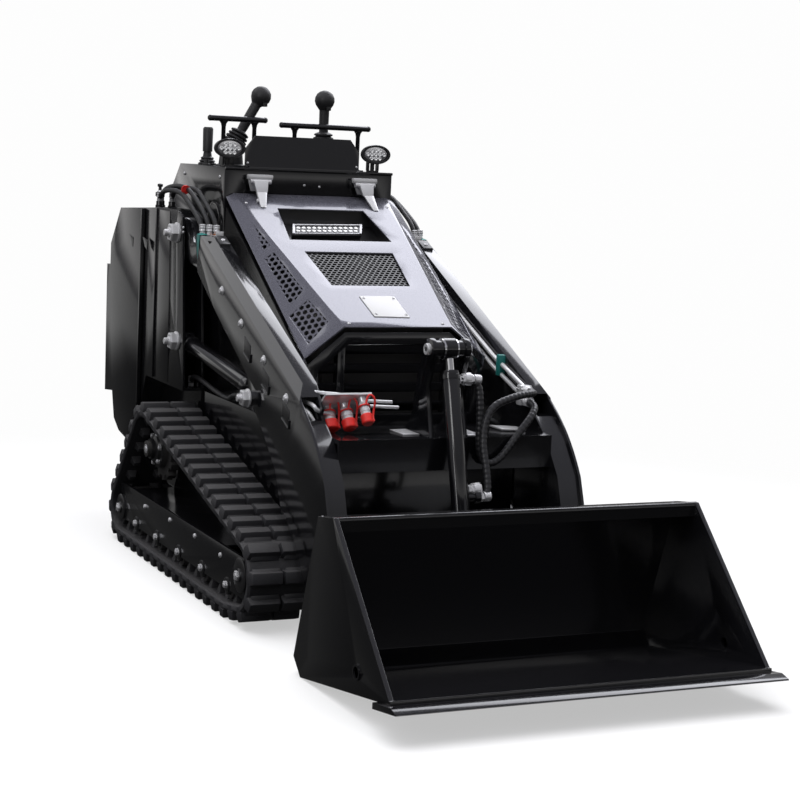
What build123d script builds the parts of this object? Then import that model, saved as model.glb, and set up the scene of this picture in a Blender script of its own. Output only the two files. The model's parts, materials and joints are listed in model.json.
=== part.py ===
from build123d import *
import os
from math import atan2, degrees, hypot

os.makedirs("parts", exist_ok=True)

# Driving dimensions in millimetres: +X points to the bucket, +Y to the machine's left, +Z up
plate = 8                      # folded steel plate of frame, towers and arms
clearance = 5                  # gap between pieces that move past each other
pin_play = 0.1                 # radial play of a hinge pin in its eye
pin_radius = 20

# Tracks
track_outer = 520              # outer edge of a belt from the middle of the machine
track_width = 180
belt_thickness = 22
lug_height = 25
lug_length = 34                # along the belt
lug_count = 42                 # in each of the two staggered rows
lug_row_width = 82
sprocket_place = (-586, 351)   # X and Z of the drive hub
sprocket_reach = 150           # hub centre to lug tip
rear_idler_place = (-826, 115)
rear_idler_reach = 115
front_idler_place = (335, 146)
front_idler_reach = 130
roller_radius = 34
roller_count = 5
roller_span = (-650, 230)      # first and last roller along X
wheel_width = 60
axle_radius = 15
hub_radius = 62

# Track frames
cover_outer = 505
cover_inner = 355
cover_top = 200
cover_bottom = 84
cover_plate = 10

# Bucket, in the pose where its heel rests on the ground
bucket_half = 525
bucket_plate = 10
bucket_side_plate = 12
bucket_lip = (1402, 86)
bucket_heel = (853, 0)
bucket_rear = (802, 43)
bucket_top_rear = (930, 432)
bucket_top_front = (1030, 447)
edge_overhang = 56             # cutting edge beyond the lip
edge_depth = 130
edge_thickness = 16
edge_side_overhang = 12

# Lift arms
arm_outer = 390
arm_width = 65
arm_pivot = (-657, 1040)
arm_lug_outer = 379            # narrow rear end between the tower plates
arm_lug_inner = 335
arm_boss_radius = 70
arm_rear = -380
arm_top_front = (400, 692)     # front end of the folded top
arm_chamfer = 24
bucket_pivot = (640, 150)
cross_rear, cross_front = 385, 575
cross_bottom, cross_top = 470, 560

# Towers, side tanks and console
tower_outer = 393
tower_rear = -877
tower_corner = ((-660, 1112), (-613, 1092), (-558, 560))   # sloped top corner, front foot
tower_foot, tower_flange_foot = 540, 470
console_half = 280
console_front, console_rear = -517, -969
console_top = 1257
console_back = -1075

# Hood: rear and front section, each as half width and height of the bend and of the lower edge
hood_rear, hood_front = -497, 215
hood_rear_section = ((264, 1177), (290, 1165))
hood_front_section = ((172, 829), (290, 738))
hood_sheet = 4
hood_hinge = (190, 715)
side_vents = (((-336, 1090), (-219, 1032), (-212, 1010)),
              ((-186, 1013), (8, 916), (29, 867), (-187, 992)),
              ((48, 892), (164, 838), (184, 774), (55, 842)))

# Lower frame between the tracks
frame_half = 322
frame_rear, frame_front = -1085, 360
frame_bottom, frame_top = 120, 540
nose_half = 280
nose_front = 205

# Cylinders
lift_base = (-634, 693)
lift_eye = (96, 609)
lift_line = 357.5              # Y of a lift cylinder's axis
lift_eye_width = 36
lift_slot = ((-150, 780), (-150, 540), (240, 500), (240, 600), (160, 700), (20, 760))
lift_barrel_radius = 26
lift_rod_radius = 15
lift_pin_radius = 14
tilt_top = (546, 802)
tilt_base = (689.4, 325.2)
tilt_barrel_radius = 25
tilt_rod_radius = 14
tilt_pin_radius = 14
tilt_ear_line = 51             # Y of the two upper bracket ears
tilt_ear = 14
lower_ear_line = 38
tilt_port_reach = 58           # Y of the banjo fittings' ends
eye_wall = 15

# Stand-on platform
platform_hinge = (-1118, 245)
platform_length = 330
platform_half = 285
platform_thickness = 20

# Controls on the console
joystick_place = (-690, 112)
grip_height = 1490
lamp_place = (-574, 254, 1316)
lamp_size = (105, 62, 55)      # width, height and depth of an oval work lamp
latch_line = 176

# Steel tubes inside the left arm
arm_tube_route = ((-310, 958), (-176, 873), (210, 714), (430, 640))

# Auxiliary couplers: Y, place (X, Z) and radius of each cap, from the arm inwards
coupler_slant = (0.62, -0.785)   # they point forward and down
coupler_reach = 30
coupler_cap = 26
coupler_places = ((-298, (411, 622), 24), (-250, (423, 637), 20), (-210, (453, 655), 17))

track_inner = track_outer - track_width
track_line = track_outer - track_width / 2
roller_axle = lug_height + belt_thickness + roller_radius
arm_inner = arm_outer - arm_width
tower_inner = frame_half
arm_middle = (arm_outer + arm_inner) / 2


def save(part, name):
    part.label = name
    export_step(part, f"parts/{name}.step")
    return part


def slab(points, low, high, mode=Mode.ADD):
    """Side-view outline (X, Z) extruded from Y = low to Y = high."""
    with BuildSketch(Plane.XZ.offset(-high)) as outline:
        with BuildLine():
            Polyline(*points, close=True)
        make_face()
    extrude(outline.sketch, amount=high - low, mode=mode)


def disc(place, radius, low, high, mode=Mode.ADD):
    """Round bar along Y at the side-view place (X, Z)."""
    with BuildSketch(Plane.XZ.offset(-high)) as section:
        with Locations(place):
            Circle(radius)
    extrude(section.sketch, amount=high - low, mode=mode)


def block(x, y, z, mode=Mode.ADD):
    """Box between the given low and high X, Y and Z."""
    with Locations(((x[0] + x[1]) / 2, (y[0] + y[1]) / 2, (z[0] + z[1]) / 2)):
        Box(x[1] - x[0], y[1] - y[0], z[1] - z[0], mode=mode)


def bar(start, end, line, radius, head=0, tail=0, mode=Mode.ADD):
    """Round bar in the plane Y = line from start to end (X, Z), shortened by head and tail."""
    span = hypot(end[0] - start[0], end[1] - start[1])
    way = ((end[0] - start[0]) / span, (end[1] - start[1]) / span)
    origin = (start[0] + way[0] * head, line, start[1] + way[1] * head)
    with BuildSketch(Plane(origin=origin, z_dir=(way[0], 0, way[1]))) as section:
        Circle(radius)
    extrude(section.sketch, amount=span - head - tail, mode=mode)


def twin(part):
    """The left-hand copy of a right-hand piece."""
    with BuildPart() as other:
        mirror(part, about=Plane.XZ)
    return other.part


def save_pair(part, name):
    save(part, f"{name}_right")
    save(twin(part), f"{name}_left")


def loop_face(inset):
    """Outline of the track loop, drawn in by inset from the lug tips."""
    corners = [(sprocket_place, sprocket_reach), (rear_idler_place, rear_idler_reach),
               (front_idler_place, front_idler_reach)]
    corners += [((x, roller_axle), roller_axle) for x in roller_span]
    with BuildSketch(Plane.XZ) as loop:
        with BuildLine():
            for place, reach in corners:
                CenterArc(place, reach - inset, 0, 360)
        make_hull()
    return loop.sketch.face()


def tread_face(shift):
    """Track outline with one row of lugs, moved along the belt by a share of the pitch."""
    belt_outline = loop_face(lug_height)
    path = belt_outline.outer_wire()
    places = []
    for number in range(lug_count):
        share = ((number + shift) / lug_count) % 1
        point, way = path.position_at(share), path.tangent_at(share)
        places.append(Location((point.X, point.Z), degrees(atan2(way.Z, way.X))))
    with BuildSketch(Plane.XZ) as tread:
        add(belt_outline)
        with Locations(*places):
            Trapezoid(lug_length + 8, 2 * lug_height, 82)
        add(loop_face(lug_height + belt_thickness), mode=Mode.SUBTRACT)
    return tread.sketch


def build_track():
    row_seam = track_inner + lug_row_width
    with BuildPart() as track:
        for shift, low, high in ((0, track_inner, row_seam), (0.5, row_seam, track_outer)):
            with BuildSketch(Plane.XZ.offset(low)):
                add(tread_face(shift))
            extrude(amount=high - low)
    return track.part


def build_track_frame():
    """Box frame inside the belt: two plates, a roof, axles for idlers and rollers, chassis blocks."""
    outline = ((-878, cover_bottom), (-830, cover_top), (360, cover_top), (378, cover_bottom))
    low, high = -cover_outer, -cover_inner
    with BuildPart() as frame:
        slab(outline, low, low + cover_plate)
        slab(outline, high - cover_plate, high)
        block((-700, 190), (low, high), (cover_top - cover_plate, cover_top))
        gusset = ((-700, cover_top), (-640, 300), (-560, 300), (260, cover_top))
        slab(gusset, high - cover_plate, high)
        for x in (-420, 60):
            block((x - 70, x + 70), (high, -frame_half), (cover_bottom + 20, cover_top - 20))
        disc(sprocket_place, hub_radius + 4, low, high, mode=Mode.SUBTRACT)
        for place in (rear_idler_place, front_idler_place, *roller_places()):
            disc(place, axle_radius, low, high)
    return frame.part


def roller_places():
    step = (roller_span[1] - roller_span[0]) / (roller_count - 1)
    return [(roller_span[0] + step * number, roller_axle) for number in range(roller_count)]


def build_wheels():
    """Two idlers and the rollers, each a flanged wheel on its axle in the track frame."""
    slack = lug_height + belt_thickness + 1
    wheels = [(rear_idler_place, rear_idler_reach - slack),
              (front_idler_place, front_idler_reach - slack)]
    wheels += [(place, roller_radius - 1) for place in roller_places()]
    with BuildPart() as rolling:
        for place, radius in wheels:
            disc(place, radius, -track_line - wheel_width / 2, -track_line + wheel_width / 2)
            disc(place, axle_radius + 12, -cover_outer + cover_plate, -cover_inner - cover_plate)
            disc(place, axle_radius, -cover_outer, -cover_inner, mode=Mode.SUBTRACT)
    return rolling.part


def build_sprocket():
    """Toothed drive wheel on its hub, bolted to the motor in the frame's side."""
    root = sprocket_reach - lug_height - belt_thickness - 1
    teeth = 13
    with BuildPart() as sprocket:
        disc(sprocket_place, root - 14, -track_line - 14, -track_line + 14)
        with BuildSketch(Plane.XZ.offset(track_line - 14)):
            with Locations(sprocket_place):
                with PolarLocations(root - 12, teeth):
                    Rectangle(24, 22)
        extrude(amount=28)
        disc(sprocket_place, hub_radius, -track_line - 30, -frame_half)
        disc(sprocket_place, 26, -cover_outer + 5, -track_line - 30)
    return sprocket.part


def arm_profile():
    """Side view of a lift arm, from its rear end down to the bucket hinge."""
    front = ((447, 640), (561, 550), (639, 450))
    with BuildSketch() as profile:
        with BuildLine():
            Polyline((-490, 1044), (arm_rear, 1044), arm_top_front, front[0])
            ThreePointArc(*front)
            Polyline(front[2], (665, 380), (698, 280), (710, 150), (590, 100), (495, 190), (430, 272),
                     (325, 339), (276, 430), (162, 526), (108, 564), (72, 572), (52, 600), (22, 667),
                     (-263, 818), (-455, 928), (-490, 1044))
        make_face()
    return profile.sketch


def build_arm():
    """Folded box with a sloped top edge; its leg is two plates with a web set back between them."""
    low, high = -arm_outer, -arm_inner
    inside = (low + plate, high - plate)
    with BuildPart() as arm:
        with BuildSketch(Plane.XZ.offset(-high)):
            add(arm_profile())
        extrude(amount=arm_width)
        top = arm.edges().filter_by(lambda e: abs(e.center().Y - low) < 1 and e.length > 800)
        chamfer(top.sort_by(Axis.Z)[-1], length=arm_chamfer)
        for depth, floor, inset in ((inside[1], inside[0], arm_chamfer + 2),
                                    (inside[1], low + arm_chamfer + 2, plate)):
            with BuildSketch(Plane.XZ.offset(-depth)) as pocket:
                offset(arm_profile(), amount=-inset, kind=Kind.INTERSECTION)
                with Locations((440, 380)):
                    Rectangle(700, 440, mode=Mode.SUBTRACT)
            extrude(pocket.sketch, amount=depth - floor, mode=Mode.SUBTRACT)
        slab(((370, 680), (480, 640), (480, 598), (370, 598)), *inside, mode=Mode.SUBTRACT)
        slab(((-520, 1036), (-370, 1030), (-370, 940), (-520, 940)), *inside, mode=Mode.SUBTRACT)
        recess_front = ((470, 640), (561, 575), (660, 450), (730, 200), (730, 140), (695, 140), (680, 280),
                        (645, 380), (620, 450), (545, 545), (455, 610))
        slab(recess_front, inside[0], high, mode=Mode.SUBTRACT)
        slab(((440, 520), (560, 460), (600, 380), (600, 260), (400, 330), (330, 460)), low + 40, inside[1],
             mode=Mode.SUBTRACT)
        slab(lift_slot, *inside, mode=Mode.SUBTRACT)
        lug = ((-657, 1090), (-560, 1026), (-452, 1000), (-452, 932), (-560, 950), (-657, 990))
        slab(lug, -arm_lug_outer, -arm_lug_inner)
        disc(arm_pivot, 50, -arm_lug_outer, -arm_lug_inner)
        slab(((-482, 1030), (-440, 1020), (-440, 930), (-452, 932), (-462, 960)), low, high)
        disc(arm_pivot, pin_radius + pin_play, low, high, mode=Mode.SUBTRACT)
        disc(bucket_pivot, arm_boss_radius, low, high)
        disc(bucket_pivot, pin_radius + pin_play, low, high, mode=Mode.SUBTRACT)
        disc(lift_eye, lift_pin_radius + 8, low - 22, low)
    return arm.part


def build_crossmember():
    """Beam between the arms with the two ears that hold the bucket cylinder's top."""
    half = arm_inner
    with BuildPart() as beam:
        block((cross_rear, cross_front), (-half, half), (cross_top - 12, cross_top))
        block((cross_front - 12, cross_front), (-half, half), (cross_bottom, cross_top))
        block((cross_rear, cross_rear + 12), (-half, half), (cross_bottom + 30, cross_top))
        for side in (-1, 1):
            middle = side * tilt_ear_line
            low, high = middle - tilt_ear / 2, middle + tilt_ear / 2
            with BuildSketch(Plane.XZ.offset(-high)):
                with BuildLine():
                    top, foot = cross_top, cross_rear + 10
                    Polyline((foot, top - 2), (cross_front, top - 2), (540, 700),
                             (tilt_top[0] + 28, tilt_top[1]), (tilt_top[0] - 30, tilt_top[1]),
                             (484, 740), (462, 650))
                    ThreePointArc((462, 650), (440, 590), (foot, top - 2))
                make_face()
                with Locations(tilt_top):
                    Circle(30)
            extrude(amount=tilt_ear)
        disc(tilt_top, tilt_pin_radius, -tilt_ear_line - 16, tilt_ear_line + 16)
    return beam.part


def build_bucket():
    with BuildPart() as bucket:
        outline = (bucket_lip, bucket_heel, bucket_rear, bucket_top_rear, bucket_top_front)
        with BuildSketch(Plane.XZ.offset(-bucket_half)):
            with BuildLine():
                Polyline(*outline)
                offset(amount=bucket_plate, side=Side.RIGHT)
            make_face()
        extrude(amount=2 * bucket_half)
        for low in (-bucket_half, bucket_half - bucket_side_plate):
            slab(outline, low, low + bucket_side_plate)
        slab(((1016, 447), (1030, 447), (1030, 410), (1020, 410)), -bucket_half, bucket_half)
        disc((1205, 110), 14, -bucket_half - 1, bucket_half + 1, mode=Mode.SUBTRACT)
    return bucket.part


def build_cutting_edge():
    rise = (bucket_lip[1] - bucket_heel[1]) / (bucket_lip[0] - bucket_heel[0])
    front = bucket_lip[0] + edge_overhang
    rear = front - edge_depth
    at = lambda x: bucket_heel[1] + (x - bucket_heel[0]) * rise
    half = bucket_half + edge_side_overhang
    with BuildPart() as edge:
        slab(((rear, at(rear)), (front - 30, at(front - 30)), (front, at(front) - edge_thickness + 4),
              (front, at(front) - edge_thickness), (rear, at(rear) - edge_thickness)), -half, half)
    return edge.part


def build_bucket_mount():
    """Plate on the bucket's back with ears for both arms and for the bucket cylinder."""
    length = hypot(bucket_top_rear[0] - bucket_rear[0], bucket_top_rear[1] - bucket_rear[1])
    along = ((bucket_top_rear[0] - bucket_rear[0]) / length,
             (bucket_top_rear[1] - bucket_rear[1]) / length)
    back = lambda share, depth: (bucket_rear[0] + along[0] * share - along[1] * depth,
                                 bucket_rear[1] + along[1] * share + along[0] * depth)
    with BuildPart() as mount:
        slab((back(20, 0), back(350, 0), back(350, 12), back(20, 12)), -arm_outer - 20, arm_outer + 20)
        ear = 12
        lines = []
        for side in (-1, 1):
            for edge in (arm_outer + clearance, arm_inner - clearance - ear):
                lines.append(side * (edge + ear / 2))
        for line in lines:
            slab((back(30, 6), back(240, 6), (bucket_pivot[0] - 5, bucket_pivot[1] + 42),
                  (bucket_pivot[0], bucket_pivot[1] - 42)), line - ear / 2, line + ear / 2)
            disc(bucket_pivot, 42, line - ear / 2, line + ear / 2)
        for side in (-1, 1):
            line = side * lower_ear_line
            slab((back(150, 6), back(345, 6), (tilt_base[0], tilt_base[1] + 34),
                  (tilt_base[0] - 10, tilt_base[1] - 34)), line - ear / 2, line + ear / 2)
            disc(tilt_base, 34, line - ear / 2, line + ear / 2)
        for side in (-1, 1):
            inner, outer = arm_inner - clearance - ear - 4, arm_outer + clearance + ear + 4
            disc(bucket_pivot, pin_radius, *sorted((side * inner, side * outer)))
        for side in (-1, 1):
            ends = sorted((side * (lower_ear_line + ear / 2), side * (lower_ear_line + ear / 2 + 8)))
            disc(tilt_base, tilt_pin_radius, *ends)
    return mount.part


def tower_outline(foot):
    (corner, top), front_top, front_foot = tower_corner
    return ((tower_rear, foot), (tower_rear, top), (corner, top), front_top, front_foot, (front_foot[0], foot))


def build_tower():
    """Two side plates on a floor, with a rear wall; the lift arm turns between them."""
    low, high = -tower_outer, -tower_inner
    with BuildPart() as tower:
        slab(tower_outline(tower_foot), low, low + plate)
        slab(tower_outline(tower_flange_foot), high - plate, high)
        block((tower_rear, tower_rear + plate), (low, high), (tower_foot, tower_corner[0][1]))
        block((tower_rear, tower_corner[2][0]), (low, high), (tower_foot, tower_foot + plate))
        for place, radius in ((arm_pivot, pin_radius), (lift_base, lift_pin_radius)):
            disc(place, radius, low - 25, high)
    return tower.part


def build_side_tank():
    """Tank behind a tower under its cover plate, with three hose necks on top."""
    low, high = -tower_outer - 12, -frame_half
    rear = ((-1262, 1091), (-1375, 960), (-1376, 884), (-1417, 884), (-1407, 431), (-1315, 440),
            (-1285, 347), (-1222, 311), (-1109, 293), (-1016, 418))
    with BuildPart() as tank:
        slab(((tower_rear, 1110), *rear, (-955, tower_foot), (tower_rear, tower_foot)), low + 12, high)
        slab(((-1016, 1100), *rear), low, low + 12)
        for x, line in ((-915, 375), (-890, 340), (-950, 357.5)):
            with BuildSketch(Plane.XY.offset(1085)) as neck:
                with Locations((x, -line)):
                    Circle(11)
            extrude(neck.sketch, amount=1130 - 1085)
    return tank.part


def build_lower_frame():
    """Hull between the tracks: two side walls, a belly, a front wall and a rear wall."""
    wall = plate
    half = frame_half
    with BuildPart() as frame:
        profile = ((frame_rear, 200), (-980, frame_bottom), (260, frame_bottom), (frame_front, 220),
                   (frame_front, frame_top), (frame_rear, frame_top))
        slab(profile, -half, half)
        with BuildSketch(Plane.XZ.offset(-half + wall)):
            with BuildLine():
                Polyline(*profile, close=True)
            make_face()
            offset(amount=-wall, kind=Kind.INTERSECTION)
        extrude(amount=2 * half - 2 * wall, mode=Mode.SUBTRACT)
        for side in (-1, 1):
            block((platform_hinge[0] - 14, frame_rear), sorted((side * 200, side * 188)), (230, 260))
        disc(platform_hinge, 12, -platform_half + 20, platform_half - 20)
    return frame.part


def build_nose():
    """Engine bay under the hood: side walls and a front frame with its chamfered opening."""
    half = nose_half
    with BuildPart() as nose:
        for side in (-1, 1):
            disc(hood_hinge, 6, *sorted((side * (half - 4), side * (half + 10))))
        for low in (-half, half - plate):
            slab(((console_front, frame_top), (nose_front, frame_top), (nose_front, 712),
                  (console_front, 1130)), low, low + plate)
        with BuildSketch(Plane.YZ.offset(nose_front)):
            with BuildLine():
                Polyline((-half, frame_top), (half, frame_top), (half, 715), (168, 812), (-168, 812),
                         (-half, 715), close=True)
            make_face()
            offset(amount=-34, kind=Kind.INTERSECTION, mode=Mode.SUBTRACT)
        extrude(amount=10)
    return nose.part


def build_grille():
    """Row of level louvre bars behind the front opening."""
    with BuildPart() as grille:
        for number, half in enumerate((262, 262, 262, 200)):
            height = 580 + 56 * number
            slab(((178, height), (196, height + 28), (202, height + 26), (184, height - 2)), -half, half)
        for side in (-1, 1):
            block((176, nose_front), sorted((side * 240, side * 262)), (frame_top, 712))
            block((176, nose_front), sorted((side * 160, side * 182)), (frame_top, 780))
    return grille.part


def build_console():
    """Hollow box behind the hood: dash, side walls with a round hatch, and the operator's wall."""
    half = console_half
    outline = ((console_front, frame_top), (console_front, console_top), (console_rear, console_top),
               (console_back, 1155), (console_back, frame_top))
    with BuildPart() as console:
        slab(outline, -half - 9, half + 9)
        with BuildSketch(Plane.XZ.offset(-half)):
            with BuildLine():
                Polyline(*outline, close=True)
            make_face()
            offset(amount=-plate, kind=Kind.INTERSECTION)
        extrude(amount=2 * half, mode=Mode.SUBTRACT)
        block((console_front - plate - 1, console_front + 1), (-half + 40, half - 40),
              (frame_top + 60, 1120), mode=Mode.SUBTRACT)
        for side in (-1, 1):
            disc((-610, 1085), 55, *sorted((side * (half - 2), side * (half + 12))), mode=Mode.SUBTRACT)
            y = side * latch_line
            block((console_front, console_front + 14), (y - 42, y + 42), (1204, 1230))
    return console.part


def build_engine():
    with BuildPart() as engine:
        block((-430, 120), (-190, 190), (frame_top, 830))
        block((-430, -250), (-190, 190), (830, 930))
        fillet(engine.edges().filter_by(Axis.Y), radius=20)
    return engine.part


def build_headboard():
    """Instrument board and the two low hand rails beside it, on the dash."""
    rail_line = joystick_place[0] + 50
    rails = ((-300, -115, 1410), (-55, 250, 1398))
    with BuildPart() as board:
        with BuildSketch(Plane.YZ.offset(-590)):
            with BuildLine():
                Polyline((-198, console_top), (198, console_top), (198, 1318), (165, 1360), (-165, 1360),
                         (-198, 1318), close=True)
            make_face()
        extrude(amount=plate)
        block((-582, -545), (-198, 198), (console_top, console_top + 6))
        for low, high, height in rails:
            disc((rail_line, height), 9, low, high)
            for y in (low + 45, high - 35):
                with BuildSketch(Plane.XY.offset(console_top)) as post:
                    with Locations((rail_line, y)):
                        Circle(7)
                extrude(post.sketch, amount=height - console_top)
    return board.part


def build_joysticks():
    x = joystick_place[0]
    with BuildPart() as sticks:
        for side in (-1, 1):
            y = side * joystick_place[1]
            lean = 70 if side < 0 else 0
            foot, top = (y - lean, console_top), (y, grip_height)
            with BuildSketch(Plane.XY.offset(console_top)):
                with Locations((x, y - lean)):
                    Circle(38)
            extrude(amount=14)
            with Locations((x, y - lean, console_top + 14)):
                Cone(34, 16, 62, align=(Align.CENTER, Align.CENTER, Align.MIN))
            start = Vector(x, y - lean, console_top + 60)
            way = (Vector(x, y, grip_height - 25) - start)
            with BuildSketch(Plane(origin=start, z_dir=way.normalized())):
                Circle(11)
            extrude(amount=way.length)
            with Locations((x, y, grip_height - 25)):
                Sphere(31)
    return sticks.part


def build_lamp():
    """Oval work lamp on a short bracket."""
    x, y, z = lamp_place
    width, height, depth = lamp_size
    with BuildPart() as lamp:
        with BuildSketch(Plane.YZ.offset(x)) as front:
            with Locations((-y, z)):
                Ellipse(width / 2, height / 2)
        extrude(front.sketch, amount=-14)
        with BuildSketch(Plane.YZ.offset(x - depth)) as rear:
            with Locations((-y, z)):
                Ellipse(width / 3, height / 3)
        with BuildSketch(Plane.YZ.offset(x - 14)) as middle:
            with Locations((-y, z)):
                Ellipse(width / 2, height / 2)
        loft((middle.sketch, rear.sketch))
        block((x - depth + 8, x - 12), (-y - 14, -y + 14), (console_top, z - height / 4))
    return lamp.part


def build_latches():
    """Two draw latches bolted to the hood; their levers point at the catch plates."""
    with BuildPart() as latches:
        for side in (-1, 1):
            y = side * latch_line
            slab(((-498, 1222), (-486, 1228), (-418, 1158), (-428, 1144), (-470, 1164)), y - 17, y + 17)
    return latches.part


def hood_section(x, section, inset=0):
    """Cross-section of the hood at x; the inset one runs on below the lower edge."""
    (bend_half, bend), (edge_half, edge) = section
    points = [(bend_half - inset, bend - inset), (edge_half - inset, edge)]
    if inset:
        points.append((edge_half - inset, edge - 60))
    mirrored = [(-y, z) for y, z in reversed(points)]
    with BuildSketch(Plane.YZ.offset(x)) as shape:
        with BuildLine():
            Polyline(*points, *mirrored, close=True)
        make_face()
    return shape.sketch


def build_hood():
    with BuildPart() as hood:
        for inset, mode in ((0, Mode.ADD), (hood_sheet, Mode.SUBTRACT)):
            loft((hood_section(hood_rear, hood_rear_section, inset),
                  hood_section(hood_front, hood_front_section, inset)), ruled=True, mode=mode)
        for points in (((-415, 147), (-235, 171)), ((-172, 147), (8, 128))):
            (rear, rear_half), (front, front_half) = points
            with BuildSketch(Plane.XY.offset(700)):
                with BuildLine():
                    Polyline((rear, -rear_half), (rear, rear_half), (front, front_half),
                             (front, -front_half), close=True)
                make_face()
            extrude(amount=500, mode=Mode.SUBTRACT)
        for vent in side_vents:
            for ends in ((-320, -140), (140, 320)):
                slab(vent, *ends, mode=Mode.SUBTRACT)
        x, z = hood_hinge
        for side in (-1, 1):
            ends = sorted((side * (nose_half + 3), side * (nose_half + 9)))
            slab(((x - 14, z), (x + 14, z), (x + 18, z + 28), (x - 14, z + 46)), *ends)
            disc(hood_hinge, 14, *ends)
            disc(hood_hinge, 6 + pin_play, *ends, mode=Mode.SUBTRACT)
    return hood.part


def build_platform():
    x, z = platform_hinge
    with BuildPart() as platform:
        block((x - platform_length - 12, x - 26), (-platform_half, platform_half), (z - 10, z + 10))
        for side in (-1, 1):
            ends = sorted((side * 216, side * 240))
            block((x - 60, x), ends, (z - 10, z + 10))
            disc(platform_hinge, 24, *ends)
            disc(platform_hinge, 12 + pin_play, *ends, mode=Mode.SUBTRACT)
    return platform.part


def build_light_bar():
    """Slim lamp bar in a tray under the hood's upper window."""
    slope = (hood_rear_section[0][1] - hood_front_section[0][1]) / (hood_front - hood_rear)
    under = lambda x, drop: hood_rear_section[0][1] - (x - hood_rear) * slope - drop
    with BuildPart() as tray:
        slab([(x, under(x, drop)) for x, drop in ((-430, 5), (-220, 5), (-220, 62), (-430, 62))], -183, 183)
        slab([(x, under(x, drop)) for x, drop in ((-427, 0), (-223, 0), (-223, 59), (-427, 59))], -180, 180,
             mode=Mode.SUBTRACT)
        slab([(x, under(x, drop)) for x, drop in ((-345, 24), (-318, 24), (-318, 59.5), (-345, 59.5))],
             -100, 100)
    return tray.part


def build_hood_screens():
    """Punched sheets behind the hood's openings."""
    slope = (hood_rear_section[0][1] - hood_front_section[0][1]) / (hood_front - hood_rear)
    under = lambda x, drop: hood_rear_section[0][1] - (x - hood_rear) * slope - drop
    with BuildPart() as screens:
        slab([(x, under(x, drop)) for x, drop in ((-185, 4.6), (22, 4.6), (22, 6.6), (-185, 6.6))],
             -158, 158)
    with BuildPart() as lining:
        for inset, mode in ((hood_sheet, Mode.ADD), (hood_sheet + 2, Mode.SUBTRACT)):
            loft((hood_section(hood_rear, hood_rear_section, inset),
                  hood_section(hood_front, hood_front_section, inset)), ruled=True, mode=mode)
        with BuildPart(mode=Mode.INTERSECT):
            for ends in ((-320, -205), (205, 320)):
                slab(((-350, 1092), (-205, 1024), (-205, 985), (-350, 1070)), *ends)
                slab(((-198, 1015), (34, 898), (34, 850), (-198, 975)), *ends)
            for ends in ((-320, -192), (192, 320)):
                slab(((44, 892), (178, 826), (192, 766), (140, 780), (44, 830)), *ends)
    with BuildPart() as screens_and_lining:
        add(screens.part)
        add(lining.part)
    return screens_and_lining.part


def coupler_point(place, along):
    return (place[0] + coupler_slant[0] * along, place[1] + coupler_slant[1] * along)


def build_couplers():
    """Slanted bracket on the right arm with three flat-face couplers of different sizes."""
    first, last = (386, 602.3), (470, 668.6)
    with BuildPart() as couplers:
        slab((first, last, coupler_point(last, -6), coupler_point(first, -6)), -arm_inner, -188)
        for y, place, radius in coupler_places:
            bar(coupler_point(place, -3), coupler_point(place, coupler_reach), y, radius * 0.7)
    return couplers.part


def build_coupler_caps():
    """Rubber dust caps over the couplers."""
    with BuildPart() as caps:
        for y, place, radius in coupler_places:
            start = coupler_point(place, coupler_reach)
            bar(start, coupler_point(place, coupler_reach + coupler_cap), y, radius)
    return caps.part


def build_arm_tubes():
    """Two steel tubes along the left arm's inner face, with their end fittings."""
    with BuildPart() as tubes:
        for rise in (0, 30):
            route = [(x, arm_inner - 9, z + rise) for x, z in arm_tube_route]
            hose(route, 7, 40)
            start, end = ((x, z) for x, _, z in (route[0], route[-1]))
            block((end[0] - 13, end[0] + 13), (arm_inner - 34, arm_inner), (end[1] - 13, end[1] + 13))
            disc(start, 10, arm_inner - 18, arm_inner)
    return tubes.part


def add_ports(barrel):
    """The bucket cylinder's barrel with a banjo fitting on each of its two ports."""
    span = hypot(tilt_base[0] - tilt_top[0], tilt_base[1] - tilt_top[1])
    way = ((tilt_base[0] - tilt_top[0]) / span, (tilt_base[1] - tilt_top[1]) / span)
    with BuildPart() as fitted:
        add(barrel)
        for along in (84, span - 88):
            place = (tilt_top[0] + way[0] * along, tilt_top[1] + way[1] * along)
            disc(place, 11, tilt_barrel_radius - 2, tilt_port_reach)
            disc(place, 17, tilt_port_reach - 16, tilt_port_reach)
    return fitted.part


def add_lift_port(barrel):
    """The right lift cylinder's barrel with the block that its hose screws into."""
    with BuildPart() as fitted:
        add(barrel)
        block((-92, -70), (-lift_line - 10, -lift_line + 10), (572, 628))
        bar(lift_base, lift_eye, -lift_line, lift_rod_radius + pin_play, head=100, tail=100,
            mode=Mode.SUBTRACT)
    return fitted.part


def build_cylinder(base, eye, line, barrel_radius, rod_radius, pin, width, rod_out,
                   base_stub=0, eye_stub=0):
    """Barrel with its base eye, and the rod with its eye, in the side-view plane Y = line.

    An eye has a hole for its pin, or holds a pin that reaches a stub's length to each side.
    """
    ring = pin + eye_wall
    low, high = line - width / 2, line + width / 2
    with BuildPart() as barrel:
        disc(base, ring, low, high)
        bar(base, eye, line, barrel_radius, head=pin + 10, tail=rod_out)
        bar(base, eye, line, rod_radius + pin_play, head=ring + 20, tail=rod_out - 5, mode=Mode.SUBTRACT)
        pin_or_hole(base, pin, line, low, high, base_stub)
    with BuildPart() as rod:
        bar(base, eye, line, rod_radius, head=ring + 30, tail=pin + 4)
        disc(eye, ring, low, high)
        pin_or_hole(eye, pin, line, low, high, eye_stub)
    return barrel.part, rod.part


def pin_or_hole(place, radius, line, low, high, stub):
    if stub:
        disc(place, radius, line - stub, line + stub)
    else:
        disc(place, radius + pin_play, low - 1, high + 1, mode=Mode.SUBTRACT)


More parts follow.
